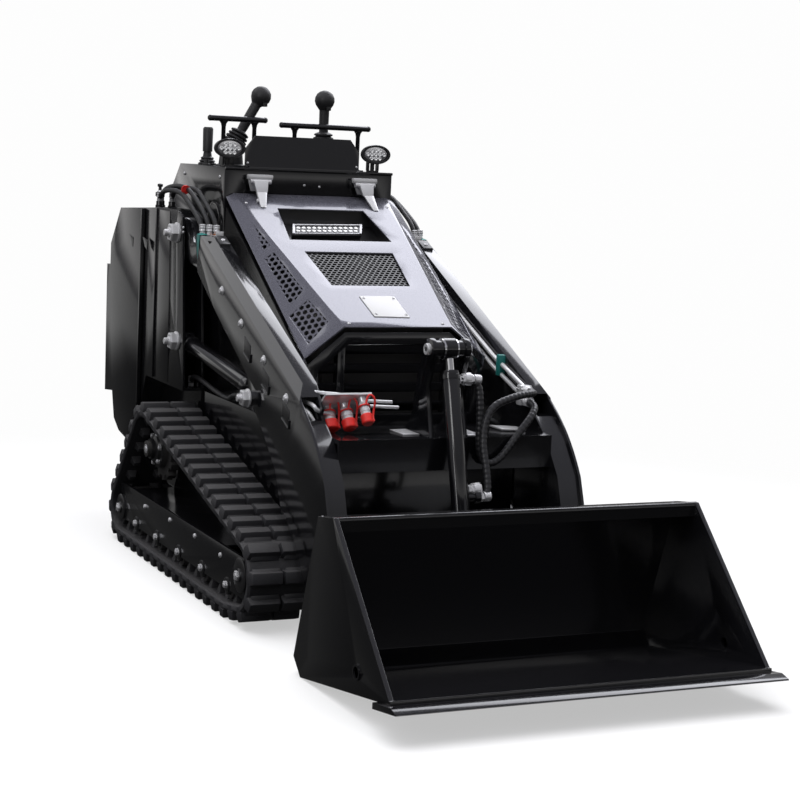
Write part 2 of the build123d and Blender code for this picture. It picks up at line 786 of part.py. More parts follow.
def hose(points, radius, bend=40):
    """Round hose through the points, with its corners rounded."""
    with BuildLine() as path:
        FilletPolyline(*points, radius=bend)
    route = path.wires()[0]
    with BuildSketch(Plane(origin=route.position_at(0), z_dir=route.tangent_at(0))) as section:
        Circle(radius)
    sweep(section.sketch, path=route)


def build_arm_hoses():
    """Hoses from the tanks over the arm hinges into the arms' rear ends."""
    routes = (((-915, -375, 1130), (-915, -375, 1166), (-700, -375, 1174), (-600, -375, 1138),
               (-462, -375, 1074), (-462, -375, 1044)),
              ((-890, -340, 1130), (-890, -340, 1176), (-640, -340, 1186), (-560, -340, 1148),
               (-430, -340, 1085), (-430, -340, 1044)),
              ((-950, -357.5, 1130), (-950, -357.5, 1172), (-720, -357.5, 1192), (-600, -357.5, 1160),
               (-446, -357.5, 1080), (-446, -357.5, 1044)))
    with BuildPart() as hoses:
        for route in routes:
            hose(route, 8, 20)
        for route in routes[:2]:
            hose([(x, -y, z) for x, y, z in route], 8, 20)
    return hoses.part


def build_tilt_hoses():
    """Two guarded hoses from the left arm's tubes to the bucket cylinder's ports."""
    with BuildPart() as hoses:
        hose(((570.2, 58, 721.6), (570.2, 86, 721.6), (588, 88, 640), (596, 84, 500), (594, 140, 482),
              (590, 210, 570), (560, 275, 625), (500, 303, 640), (443, 303, 640)), 11, 20)
        hose(((663.8, 58, 409.4), (663.8, 86, 409.4), (648, 88, 470), (612, 84, 560), (596, 110, 645),
              (584, 190, 672), (560, 262, 678), (500, 303, 670), (443, 303, 670)), 11, 20)
    return hoses.part


def build_lift_hose():
    """Hose from the tower's foot to the rod end of a lift cylinder."""
    with BuildPart() as line:
        hose(((-620, -345, 548), (-620, -345, 585), (-500, -345, 580), (-380, -347, 565),
              (-230, -350, 556), (-170, -357.5, 584), (-92, -357.5, 584)), 8, 20)
    return line.part


save_pair(build_track(), "track")
save_pair(build_track_frame(), "track_frame")
save_pair(build_wheels(), "track_wheels")
save_pair(build_sprocket(), "sprocket")
save_pair(build_arm(), "lift_arm")
save(build_crossmember(), "arm_crossmember")
save(build_bucket(), "bucket_shell")
save(build_cutting_edge(), "cutting_edge")
save(build_bucket_mount(), "bucket_mount")
save_pair(build_tower(), "tower")
save_pair(build_side_tank(), "side_tank")
save(build_lower_frame(), "lower_frame")
save(build_nose(), "nose_frame")
save(build_grille(), "front_grille")
save(build_console(), "console")
save(build_engine(), "engine_block")
save(build_headboard(), "headboard")
save(build_joysticks(), "joysticks")
save_pair(build_lamp(), "work_lamp")
save(build_latches(), "hood_latches")
save(build_hood(), "hood")
save(build_platform(), "platform")

lift_barrel, lift_rod = build_cylinder(lift_base, lift_eye, -lift_line, lift_barrel_radius,
                                       lift_rod_radius, lift_pin_radius, lift_eye_width, 120, eye_stub=23)
save_pair(add_lift_port(lift_barrel), "lift_barrel")
save_pair(lift_rod, "lift_rod")
save(build_light_bar(), "light_bar")
save(build_hood_screens(), "hood_screens")
save(build_couplers(), "couplers")
save(build_coupler_caps(), "coupler_caps")
save(build_arm_tubes(), "arm_tubes")
save(build_arm_hoses(), "arm_hoses")
save(build_tilt_hoses(), "tilt_hoses")
save_pair(build_lift_hose(), "lift_hose")
tilt_barrel, tilt_rod = build_cylinder(tilt_base, tilt_top, 0, tilt_barrel_radius, tilt_rod_radius,
                                       tilt_pin_radius, 44, 62, base_stub=30)
save(add_ports(tilt_barrel), "tilt_barrel")
save(tilt_rod, "tilt_rod")
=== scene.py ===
import json
import math

import bmesh
import bpy
from mathutils import Matrix, Vector


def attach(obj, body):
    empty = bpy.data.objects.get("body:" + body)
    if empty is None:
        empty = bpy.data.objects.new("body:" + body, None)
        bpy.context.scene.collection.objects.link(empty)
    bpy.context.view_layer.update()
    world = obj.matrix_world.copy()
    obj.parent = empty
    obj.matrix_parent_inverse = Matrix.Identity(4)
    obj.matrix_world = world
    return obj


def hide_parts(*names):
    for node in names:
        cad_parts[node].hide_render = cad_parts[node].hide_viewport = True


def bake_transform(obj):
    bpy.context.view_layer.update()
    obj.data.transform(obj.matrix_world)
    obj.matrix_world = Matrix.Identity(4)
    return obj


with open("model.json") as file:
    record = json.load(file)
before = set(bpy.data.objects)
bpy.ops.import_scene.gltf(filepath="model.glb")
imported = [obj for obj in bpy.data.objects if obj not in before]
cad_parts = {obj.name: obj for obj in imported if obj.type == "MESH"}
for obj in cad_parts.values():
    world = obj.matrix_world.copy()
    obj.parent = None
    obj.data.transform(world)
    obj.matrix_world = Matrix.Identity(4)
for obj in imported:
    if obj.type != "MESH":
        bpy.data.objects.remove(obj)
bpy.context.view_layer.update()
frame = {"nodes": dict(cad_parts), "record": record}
nodes = frame["nodes"]
scene = bpy.context.scene
RIGHT, LEFT = -1, 1


# Materials

COAT_ROUGHNESS = 0.08
PATCH_SCALE, PATCH_DETAIL, FINE_DETAIL = 5.0, 6.0, 8.0
DUST_COLOR = (0.42, 0.40, 0.38, 1)
RELIEF_DEPTH = 0.002
FIRST, SECOND = 6, 7


def add(tree, kind, values=None, **settings):
    """New node with its settings and the values of its sockets."""
    made = tree.nodes.new(kind)
    for name, value in settings.items():
        setattr(made, name, value)
    for socket, value in (values or {}).items():
        made.inputs[socket].default_value = value
    return made


def wire(tree, *links):
    """Links, each as a node, its output, the next node and its input."""
    for start, leave, end, enter in links:
        tree.links.new(start.outputs[leave], end.inputs[enter])


def material(name, color, rough, metal=0.0, coat=0.0, mottle=0.15, grain=60.0, bump=0.02, dust=0.0,
             spec=0.5):
    """Painted or bare surface: colour that varies a little, uneven gloss, fine bumps, dust on top."""
    made = bpy.data.materials.new(name)
    made.use_nodes = True
    tree = made.node_tree
    shader = tree.nodes["Principled BSDF"]
    for socket, value in (("Metallic", metal), ("Coat Weight", coat), ("Coat Roughness", COAT_ROUGHNESS),
                          ("Specular IOR Level", spec)):
        shader.inputs[socket].default_value = value
    place = add(tree, "ShaderNodeTexCoord")
    patches = add(tree, "ShaderNodeTexNoise", {"Scale": PATCH_SCALE, "Detail": PATCH_DETAIL})
    fine = add(tree, "ShaderNodeTexNoise", {"Scale": grain, "Detail": FINE_DETAIL})
    shade = add(tree, "ShaderNodeMix", {FIRST: (*[c * (1 - mottle) for c in color], 1),
                                        SECOND: (*[min(1, c * (1 + mottle)) for c in color], 1)},
                data_type="RGBA")
    wire(tree, (place, "Object", patches, "Vector"),
         (place, "Object", fine, "Vector"), (patches, "Fac", shade, 0))
    last = shade
    if dust:
        shape = add(tree, "ShaderNodeNewGeometry")
        split = add(tree, "ShaderNodeSeparateXYZ")
        amount = add(tree, "ShaderNodeMath", operation="MULTIPLY", use_clamp=True)
        less = add(tree, "ShaderNodeMath", {1: dust}, operation="MULTIPLY")
        dusty = add(tree, "ShaderNodeMix", {SECOND: DUST_COLOR}, data_type="RGBA")
        wire(tree, (shape, "Normal", split, 0), (split, "Z", amount, 0),
             (fine, "Fac", amount, 1), (amount, 0, less, 0),
             (less, 0, dusty, 0), (last, 2, dusty, FIRST))
        last = dusty
    gloss = add(tree, "ShaderNodeMapRange", {"To Min": max(0.02, rough * 0.75),
                                             "To Max": min(1.0, rough * 1.3)})
    wire(tree, (last, 2, shader, "Base Color"), (fine, "Fac", gloss, "Value"),
         (gloss, 0, shader, "Roughness"))
    if bump:
        relief = add(tree, "ShaderNodeBump", {"Strength": bump, "Distance": RELIEF_DEPTH})
        wire(tree, (fine, "Fac", relief, "Height"), (relief, 0, shader, "Normal"))
    return made


BLACK = material("black_gloss_paint", (0.004, 0.004, 0.005), 0.16, coat=0.6, grain=45, bump=0.04, dust=0.006)
SATIN = material("black_satin_paint", (0.009, 0.009, 0.010), 0.34, coat=0.2, grain=160, bump=0.06, dust=0.01)
SILVER = material("silver_hood_paint", (0.10, 0.10, 0.125), 0.26, metal=0.6, coat=1.0, mottle=0.06,
                  grain=420, bump=0.012)
ARM_TOP = material("arm_paint", (0.005, 0.005, 0.006), 0.15, coat=0.8, grain=30, bump=0.04)
RUBBER = material("track_rubber", (0.022, 0.022, 0.025), 0.52, mottle=0.35, grain=240, bump=0.35, dust=0.10,
                  spec=0.45)
HOSE = material("hose_rubber", (0.012, 0.012, 0.013), 0.42, grain=700, bump=0.3)
GUARD = material("spiral_guard", (0.016, 0.016, 0.018), 0.30, grain=200, bump=0.1)
PLASTIC = material("grip_plastic", (0.018, 0.018, 0.019), 0.45, grain=500, bump=0.15)
ZINC = material("zinc_steel", (0.66, 0.66, 0.68), 0.24, metal=0.55, mottle=0.12, grain=300, bump=0.08)
STEEL = material("machined_steel", (0.50, 0.50, 0.52), 0.30, metal=0.6, mottle=0.2, grain=180, bump=0.08)
PLATE = material("pale_plate", (0.46, 0.46, 0.47), 0.45, metal=0.2, mottle=0.08, grain=200, bump=0.05)
CHROME = material("chrome", (0.80, 0.80, 0.82), 0.08, metal=1.0, mottle=0.03, grain=90, bump=0.0)
CAST = material("cast_iron", (0.035, 0.034, 0.034), 0.60, metal=0.3, grain=220, bump=0.3, dust=0.08)
RED = material("red_rubber", (0.62, 0.025, 0.02), 0.38, mottle=0.12, grain=320, bump=0.1)
COPPER = material("copper", (0.70, 0.26, 0.12), 0.3, metal=1.0, mottle=0.2, grain=90, bump=0.05)
TEAL = material("teal_plastic", (0.01, 0.13, 0.12), 0.4, grain=300, bump=0.05)
LENS = material("lamp_lens", (0.92, 0.93, 0.95), 0.12, metal=0.1, coat=1.0, mottle=0.1, grain=260, bump=0.3)


# Places that the details share; all sizes are in millimetres in the part's own frame

ARM_FACE, TOWER_FACE, TANK_FACE, TRACK_FACE = 390, 393, 405, 504
ARM_PIVOT, LIFT_BASE, LIFT_EYE, LIFT_LINE = (-657, 1040), (-634, 693), (96, 609), 357.5
BUCKET_PIVOT, TILT_TOP, TILT_BASE = (640, 150), (546, 802), (689.4, 325.2)
CONSOLE_TOP, CONSOLE_SIDE = 1257, 289
UP, AHEAD, ACROSS = (0, 0, 1), (1, 0, 0), (0, 1, 0)
HOOD_UP = (0.44, 0, 0.9)


def side_name(side):
    return "right" if side < 0 else "left"


# Mesh building

def v(*xyz):
    return Vector(xyz) / 1000


def skin(part, rings):
    """Faces between neighbouring rings of corners, and a lid on either end."""
    for a, b in zip(rings, rings[1:]):
        for i in range(len(a)):
            j = (i + 1) % len(a)
            part.faces.new((a[i], a[j], b[j], b[i]))
    part.faces.new(list(reversed(rings[0])))
    part.faces.new(rings[-1])


class Kit:
    """Collects bevelled primitives into one mesh."""

    def __init__(self):
        self.bm = bmesh.new()

    def take(self, part, bevel, segments=2):
        if bevel:
            edges = [e for e in part.edges if len(e.link_faces) == 2 and e.calc_face_angle(0) > 0.6]
            bmesh.ops.bevel(part, geom=edges, offset=bevel / 1000, segments=segments, profile=0.6,
                            affect="EDGES", clamp_overlap=True)
        bmesh.ops.recalc_face_normals(part, faces=part.faces)
        held = bpy.data.meshes.new("held")
        part.to_mesh(held)
        part.free()
        self.bm.from_mesh(held)
        bpy.data.meshes.remove(held)
        return self

    def hull(self, points, bevel=0, segments=2):
        part = bmesh.new()
        for p in points:
            part.verts.new(v(*p))
        made = bmesh.ops.convex_hull(part, input=part.verts)
        loose = [g for g in made["geom_interior"] if isinstance(g, bmesh.types.BMVert)]
        bmesh.ops.delete(part, geom=loose, context="VERTS")
        bmesh.ops.dissolve_limit(part, angle_limit=0.02, verts=part.verts, edges=part.edges)
        return self.take(part, bevel, segments)

    def box(self, x, y, z, bevel=1.5):
        return self.hull([(a, b, c) for a in x for b in y for c in z], bevel)

    def turn(self, start, way, profile, sides=24, bevel=0, twist=0.0):
        """Solid of revolution: profile is (distance along way, radius) pairs from start."""
        part = bmesh.new()
        axis = Vector(way).normalized()
        side = axis.orthogonal().normalized()
        side.rotate(Matrix.Rotation(twist, 3, axis).to_quaternion())
        other = axis.cross(side)
        rings = []
        for along, radius in profile:
            ring = []
            for i in range(sides):
                angle = 2 * math.pi * i / sides
                out = side * math.cos(angle) + other * math.sin(angle)
                p = Vector(start) + axis * along + out * radius
                ring.append(part.verts.new(p / 1000))
            rings.append(ring)
        skin(part, rings)
        return self.take(part, bevel)

    def rod(self, start, end, radius, sides=20, bevel=0.6):
        way = Vector(end) - Vector(start)
        length = way.length
        b = min(bevel, radius * 0.4, length * 0.3)
        return self.turn(start, way, ((0, radius - b), (b, radius), (length - b, radius),
                                      (length, radius - b)), sides)

    def nut(self, at, way, across, height, twist=0.2):
        """Hexagon head on a washer, with a domed top."""
        r = across / math.sqrt(3)
        self.turn(at, way, ((0, across * 0.62), (height * 0.16, across * 0.62),
                            (height * 0.2, across * 0.58)), 28)
        self.turn(Vector(at) + Vector(way).normalized() * height * 0.18, way,
                  ((0, r), (height * 0.62, r), (height * 0.76, r * 0.86)), 6, twist=twist)
        return self.turn(Vector(at) + Vector(way).normalized() * height * 0.9, way,
                         ((0, r * 0.55), (height * 0.14, r * 0.5), (height * 0.2, r * 0.3)), 20)

    def dome(self, at, way, radius, height):
        """Round-headed bolt with a socket."""
        steps = [(0, radius), (height * 0.3, radius), (height * 0.62, radius * 0.88),
                 (height * 0.9, radius * 0.62), (height, radius * 0.42), (height * 0.7, radius * 0.38)]
        return self.turn(at, way, steps, 24)

    def sweep(self, points, radius, sides=12, wave=None):
        """Round tube along points in metres."""
        part = bmesh.new()
        points = [Vector(p) for p in points]
        normal = None
        rings = []
        travelled = 0.0
        for i, p in enumerate(points):
            if i:
                travelled += (p - points[i - 1]).length
            way = (points[min(i + 1, len(points) - 1)] - points[max(i - 1, 0)]).normalized()
            if normal is None:
                normal = way.orthogonal().normalized()
            normal = (normal - way * normal.dot(way)).normalized()
            other = way.cross(normal)
            r = radius / 1000 * (wave(travelled * 1000) if wave else 1)
            rings.append([part.verts.new(p + (normal * math.cos(a) + other * math.sin(a)) * r)
                          for a in (2 * math.pi * k / sides for k in range(sides))])
        skin(part, rings)
        return self.take(part, 0)

    def copy(self, other, matrix):
        held = bpy.data.meshes.new("held")
        other.bm.to_mesh(held)
        held.transform(matrix)
        self.bm.from_mesh(held)
        bpy.data.meshes.remove(held)
        return self

    def make(self, name, body, paint, sharp=32, slot=None, replaces=()):
        mesh = bpy.data.meshes.new(name)
        self.bm.to_mesh(mesh)
        self.bm.free()
        mesh.materials.append(paint)
        mesh.polygons.foreach_set("use_smooth", [True] * len(mesh.polygons))
        mesh.set_sharp_from_angle(angle=math.radians(sharp))
        made = bpy.data.objects.new(name, mesh)
        scene.collection.objects.link(made)
        if body:
            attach(made, body)
        if replaces:
            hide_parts(*replaces)
        return made


def line_points(points):
    """Points along the smooth curve that has these control points, in metres."""
    curve = bpy.data.curves.new("route", "CURVE")
    curve.dimensions = "3D"
    spline = curve.splines.new("NURBS")
    spline.points.add(len(points) - 1)
    for p, at in zip(spline.points, points):
        p.co = (*(c / 1000 for c in at), 1)
    spline.order_u = 3
    spline.use_endpoint_u = True
    spline.resolution_u = 12
    holder = bpy.data.objects.new("route", curve)
    scene.collection.objects.link(holder)
    bpy.context.view_layer.update()
    mesh = bpy.data.meshes.new_from_object(holder)
    found = [vert.co.copy() for vert in mesh.vertices]
    bpy.data.meshes.remove(mesh)
    bpy.data.objects.remove(holder)
    bpy.data.curves.remove(curve)
    return found


def path_length(points):
    return sum((b - a).length for a, b in zip(points, points[1:]))


# Finishes of the solids that stay; angles in degrees

BEVEL_OVER, SMOOTH_BELOW = 38, 33


def edge_finish(node, paint, width=1.2):
    """Small rounded edges and smooth shading on a solid that stays."""
    node.data.materials.clear()
    node.data.materials.append(paint)
    weld = node.modifiers.new("weld", "WELD")
    weld.merge_threshold = 0.00002
    if width:
        bevel = node.modifiers.new("edges", "BEVEL")
        bevel.width = width / 1000
        bevel.segments = 2
        bevel.limit_method = "ANGLE"
        bevel.angle_limit = math.radians(BEVEL_OVER)
        bevel.harden_normals = False
    shade = node.modifiers.new("shade", "NODES")
    shade.node_group = smooth_group()


def smooth_group():
    found = bpy.data.node_groups.get("smooth_by_angle")
    if found:
        return found
    tree = bpy.data.node_groups.new("smooth_by_angle", "GeometryNodeTree")
    for word in ("INPUT", "OUTPUT"):
        tree.interface.new_socket("Geometry", in_out=word, socket_type="NodeSocketGeometry")
    enter = add(tree, "NodeGroupInput")
    leave = add(tree, "NodeGroupOutput")
    faces = add(tree, "GeometryNodeSetShadeSmooth", domain="FACE")
    edges = add(tree, "GeometryNodeSetShadeSmooth", domain="EDGE")
    angle = add(tree, "GeometryNodeInputMeshEdgeAngle")
    compare = add(tree, "FunctionNodeCompare", {1: math.radians(SMOOTH_BELOW)}, data_type="FLOAT",
                  operation="LESS_THAN")
    wire(tree, (enter, 0, faces, "Geometry"), (faces, 0, edges, "Geometry"),
         (angle, "Unsigned Angle", compare, 0), (compare, 0, edges, "Shade Smooth"), (edges, 0, leave, 0))
    return tree


PAINTS = {
    "black_paint": BLACK, "silver_paint": SILVER, "dark_paint": SATIN, "cast_wheel": CAST, "steel": ZINC,
    "chrome_rod": CHROME, "track_rubber": RUBBER, "hose_rubber": HOSE, "red_cap": RED, "grip": PLASTIC,
    "lamp": SATIN,
}
slot_of = {s["node"]: s["material_slot"] for s in frame["record"]["subparts"]}
for name, node in nodes.items():
    paint = PAINTS.get(slot_of.get(name), BLACK)
    if name.startswith("lift_arm"):
        paint = ARM_TOP
    edge_finish(node, paint, 0.6 if name in ("hood", "bucket_shell") else 1.2)


# Tracks

SPROCKET, REAR_WHEEL, FRONT_WHEEL = (-586, 351), (-826, 115), (335, 146)
TRACK_CIRCLES = ((SPROCKET, 150), (REAR_WHEEL, 115), (FRONT_WHEEL, 130), ((-650, 81), 81), ((230, 81), 81))
TRACK_IN, TRACK_SEAM, TRACK_OUT = 340, 422, 520
LUGS = 42
LUG_HEIGHT, BELT = 25, 22
STATIONS, LOOK_UPS = 300, 4000
GUIDE_LINES = (-46, 46)


def track_loop(inset):
    """The belt's outline at a depth under the lug tips, as an ordered ring of (X, Z)."""
    points = []
    for (x, z), reach in TRACK_CIRCLES:
        for step in range(360):
            a = math.radians(step)
            points.append((x + (reach - inset) * math.cos(a), z + (reach - inset) * math.sin(a)))
    points.sort()
    chain = []
    for group in (points, points[::-1]):
        part = []
        for p in group:
            while len(part) > 1 and ((part[-1][0] - part[-2][0]) * (p[1] - part[-2][1])
                                     - (part[-1][1] - part[-2][1]) * (p[0] - part[-2][0])) <= 0:
                part.pop()
            part.append(p)
        chain += part[:-1]
    return chain


def loop_length(loop):
    return sum(math.dist(a, b) for a, b in zip(loop, loop[1:] + loop[:1]))


def along_loop(loop, distance):
    """Point and direction on the ring at a distance from its first point."""
    distance %= loop_length(loop)
    for a, b in zip(loop, loop[1:] + loop[:1]):
        step = math.dist(a, b)
        if distance <= step:
            t = distance / step
            return ((a[0] + (b[0] - a[0]) * t, a[1] + (b[1] - a[1]) * t),
                    ((b[0] - a[0]) / step, (b[1] - a[1]) / step))
        distance -= step
    return loop[0], (1, 0)


_tables = {}


def along_fast(loop, length, share):
    """along_loop with a table, for many look-ups."""
    key = (len(loop), round(length, 3))
    if key not in _tables:
        _tables[key] = [along_loop(loop, length * i / LOOK_UPS) for i in range(LOOK_UPS)]
    return _tables[key][int(round(share * LOOK_UPS)) % LOOK_UPS]


def stood(point, way, side, y):
    """Matrix that stands a block on the belt at a point, with its height away from the belt."""
    (x, z), (dx, dz) = point, way
    turn = Matrix(((dx, 0, dz, 0), (0, side, 0, 0), (dz, 0, -dx, 0), (0, 0, 0, 1)))
    return Matrix.Translation(v(x, side * y, z)) @ turn


def lug_phase(node, low, high):
    """Middle X of one lug of the CAD track that stands on the ground, in the given Y range."""
    tips = sorted({round(p.co.x * 1000, 2) for p in node.data.vertices
                   if p.co.z < 0.0005 and low < abs(p.co.y) * 1000 < high and -0.6 < p.co.x < 0.2})
    pairs = [(a + b) / 2 for a, b in zip(tips, tips[1:]) if 30 < b - a < 38]
    return pairs[len(pairs) // 2] if pairs else 0.0


def lug_shape(width, outer):
    """One tread block: a tapered bar with rounded edges, a notch beside it and a foot at the belt's rim."""
    kit = Kit()
    half = width / 2
    base, top, height = 21, 16, LUG_HEIGHT
    kit.hull([(s * base, w, -2) for s in (-1, 1) for w in (-half + 1, half - 1)]
             + [(s * top, w, height - 0.4) for s in (-1, 1) for w in (-half + 4, half - 5)], 3.4, 2)
    kit.hull([(s * (base + 6), w, -2) for s in (-1, 1) for w in (-half + 3, half - 10)]
             + [(s * (base - 2), w, height * 0.42) for s in (-1, 1) for w in (-half + 6, half - 16)], 2.0, 1)
    if outer:
        kit.hull([(s * 17, w, -BELT + 3) for s in (-1, 1) for w in (half - 10, half - 1)]
                 + [(s * 13, w, height * 0.6) for s in (-1, 1) for w in (half - 12, half - 4)], 2.4, 2)
    return kit


def build_track(side):
    name = side_name(side)
    node = nodes["track_" + name]
    kit = Kit()
    outer = track_loop(LUG_HEIGHT)
    length = loop_length(outer)
    flat_y = [(TRACK_IN + 3, 2), (TRACK_IN, 6), (TRACK_IN, BELT - 4), (TRACK_IN + 5, BELT),
              (TRACK_OUT - 5, BELT), (TRACK_OUT - 2, BELT - 4), (TRACK_OUT - 2, 6), (TRACK_OUT - 8, 0),
              (TRACK_OUT - 60, 0), (TRACK_IN + 60, 0)]
    part = bmesh.new()
    rings = []
    for i in range(STATIONS):
        (x, z), (dx, dz) = along_loop(outer, length * i / STATIONS)
        nx, nz = dz, -dx
        rings.append([part.verts.new(v(x - nx * depth, side * y, z - nz * depth)) for y, depth in flat_y])
    for i in range(STATIONS):
        a, b = rings[i], rings[(i + 1) % STATIONS]
        for k in range(len(flat_y)):
            m = (k + 1) % len(flat_y)
            part.faces.new((a[k], a[m], b[m], b[k]))
    kit.take(part, 0)
    for low, high, is_outer in ((TRACK_IN, TRACK_SEAM, False), (TRACK_SEAM, TRACK_OUT, True)):
        middle_x = lug_phase(node, low + 1, high - 1)
        start = min(range(LOOK_UPS), key=lambda n: math.dist(along_fast(outer, length, n / LOOK_UPS)[0],
                                                             (middle_x, LUG_HEIGHT)))
        shape = lug_shape(high - low, is_outer)
        for number in range(LUGS):
            point, way = along_fast(outer, length, (start / LOOK_UPS + number / LUGS) % 1)
            kit.copy(shape, stood(point, way, side, (low + high) / 2))
        shape.bm.free()
    inner = track_loop(LUG_HEIGHT + BELT)
    inner_length = loop_length(inner)
    guide = Kit()
    guide.hull([(s * 15, w, 2) for s in (-1, 1) for w in (-17, 17)]
               + [(s * 8, w, -24) for s in (-1, 1) for w in (-10, 10)], 2.5, 2)
    for number in range(LUGS):
        point, way = along_fast(inner, inner_length, number / LUGS)
        for line in GUIDE_LINES:
            kit.copy(guide, stood(point, way, side, (TRACK_IN + TRACK_OUT) / 2 + line))
    guide.bm.free()
    kit.make(f"track_{name}_tread", "chassis", RUBBER, 40, "track_rubber", (f"track_{name}",))


for side in (RIGHT, LEFT):
    build_track(side)


# Hood: punched vents, screen over the engine, lamp bar, plate and latches

HOOD_BACK, HOOD_FRONT = -497, 215
HOOD_SLOPE = (1177 - 829) / (HOOD_FRONT - HOOD_BACK)


def hood_top(x):
    return 1177 - (x - HOOD_BACK) * HOOD_SLOPE


def hood_side(x, z, side, sink=0.0):
    """Point on the hood's slanted side at X and Z, sunk towards the engine."""
    share = (x - HOOD_BACK) / (HOOD_FRONT - HOOD_BACK)
    bend = (264 - 92 * share, 1177 - 348 * share)
    edge = (290, 1165 - 427 * share)
    t = (z - bend[1]) / (edge[1] - bend[1])
    run = Vector((edge[0] - bend[0], edge[1] - bend[1])).normalized()
    y = bend[0] + (edge[0] - bend[0]) * t
    return (x, side * (y + run[1] * sink), z - run[0] * sink)


def punched(kit, outline, pitch, hole, lift, stretch=1.0, depth=2.0):
    """Sheet with staggered six-sided holes, cut to an outline in its own plane; lift puts it in place."""
    part = bmesh.new()
    xs = [p[0] for p in outline]
    ys = [p[1] for p in outline]
    step = pitch * stretch
    row = pitch * math.sqrt(3) / 2
    r_out = pitch / math.sqrt(3)
    for j in range(int((max(ys) - min(ys)) / row) + 4):
        for i in range(int((max(xs) - min(xs)) / step) + 4):
            cx = min(xs) - step + (i + 0.5 * (j % 2)) * step
            cy = min(ys) - row + j * row
            outer, inner = [], []
            for k in range(6):
                a = math.radians(30 + 60 * k)
                for ring, r in ((outer, r_out), (inner, hole / 2)):
                    ring.append(part.verts.new((cx + r * stretch * math.cos(a), cy + r * math.sin(a), 0)))
            for k in range(6):
                m = (k + 1) % 6
                part.faces.new((outer[k], outer[m], inner[m], inner[k]))
    bmesh.ops.remove_doubles(part, verts=part.verts, dist=0.01)
    area = sum(a[0] * b[1] - b[0] * a[1] for a, b in zip(outline, outline[1:] + outline[:1]))
    sign = 1 if area > 0 else -1
    for a, b in zip(outline, outline[1:] + outline[:1]):
        normal = Vector(((b[1] - a[1]) * sign, -(b[0] - a[0]) * sign, 0))
        bmesh.ops.bisect_plane(part, geom=part.verts[:] + part.edges[:] + part.faces[:], dist=0.001,
                               plane_co=(a[0], a[1], 0), plane_no=normal, clear_outer=True)
    rim = bmesh.ops.extrude_face_region(part, geom=part.faces[:])
    moved = {g for g in rim["geom"] if isinstance(g, bmesh.types.BMVert)}
    for vert in part.verts:
        vert.co = v(*lift(vert.co.x, vert.co.y, depth if vert in moved else 0.0))
    return kit.take(part, 0)


VENTS = (((-336, 1090), (-219, 1032), (-212, 1010)),
         ((-186, 1013), (8, 916), (29, 867), (-187, 992)),
         ((48, 892), (164, 838), (184, 774), (55, 842)))
screens = Kit()
for side in (RIGHT, LEFT):
    for vent in VENTS:
        middle = (sum(p[0] for p in vent) / len(vent), sum(p[1] for p in vent) / len(vent))
        grown = [(middle[0] + (x - middle[0]) * 1.01, middle[1] + (z - middle[1]) * 1.01) for x, z in vent]
        outline = [(x, (hood_top(x) - z) * 1.5) for x, z in grown]
        punched(screens, outline, 19, 15,
                lambda x, t, d: hood_side(x, hood_top(x) - t / 1.5, side, 0.6 + d), 1.15)
screens.make("side_vents", "hood", SILVER, 20, "silver_paint", ("hood_screens",))
mesh_sheet = Kit()
punched(mesh_sheet, [(-150, 0), (150, 0), (132, 205), (-132, 205)], 14, 12.4,
        lambda y, s, d: (-178 + s * 0.898, y, hood_top(-178 + s * 0.898) - 5.5 - d), 1.25, depth=1.5)
mesh_sheet.make("engine_screen", "hood", SATIN, 20, "dark_paint")

bar_kit, bar_body, cells = Kit(), Kit(), Kit()
BAR = ((-330, -126), (-338, 113), (-284, 89), (-276, -147))


def on_bar(along, down, h):
    """Point on the lamp bar: along it 0 to 1, down it 0 to 1, h above the hood's plane."""
    top = [BAR[0][k] + (BAR[1][k] - BAR[0][k]) * along for k in (0, 1)]
    low = [BAR[3][k] + (BAR[2][k] - BAR[3][k]) * along for k in (0, 1)]
    x, y = [top[k] + (low[k] - top[k]) * down for k in (0, 1)]
    return (x + 0.44 * h, y, hood_top(x) + 0.9 * h)


bar_body.hull([on_bar(a, b, h) for a in (0, 1) for b in (0, 1) for h in (-26, -7)], 2)
for low, high in ((0.0, 0.08), (0.92, 1.0)):
    bar_kit.hull([on_bar(a, b, h) for a in (0, 1) for b in (low, high) for h in (-12, -3)], 1.2)
for low, high in ((0.0, 0.035), (0.965, 1.0)):
    bar_kit.hull([on_bar(a, b, h) for a in (low, high) for b in (0, 1) for h in (-12, -2)], 1.2)
for number in range(12):
    for row in (0.34, 0.66):
        cells.turn(on_bar(0.085 + 0.0755 * number, row, -8), HOOD_UP,
                   ((0, 2), (1, 6.2), (3, 6.2), (4, 5.2), (2, 3), (1.5, 1)), 12)
bar_body.make("light_bar_body", "hood", SATIN, 32, "dark_paint")
bar_kit.make("light_bar_frame", "hood", STEEL, 32, "steel")
cells.make("light_bar_cells", "hood", LENS, 40, "lamp")

plate_kit = Kit()
plate_at = [(66, -63), (66, 50), (172, 56), (168, -56)]
plate_kit.hull([(x, y, hood_top(x) + h) for x, y in plate_at for h in (-1, 3)], 1.2)
plate_kit.make("blank_plate", "hood", PLATE, 30, "steel")
plate_bolts = Kit()
for x, y in ((78, -54), (78, 42), (161, 48), (158, -47)):
    plate_bolts.dome((x, y, hood_top(x) + 3), HOOD_UP, 4.2, 3)
for x, y in ((200, 150), (200, -150), (-440, 242), (-440, -242)):
    plate_bolts.dome((x, y, hood_top(x)), HOOD_UP, 5, 3)
plate_bolts.make("hood_bolts", "hood", ZINC, 32, "steel")

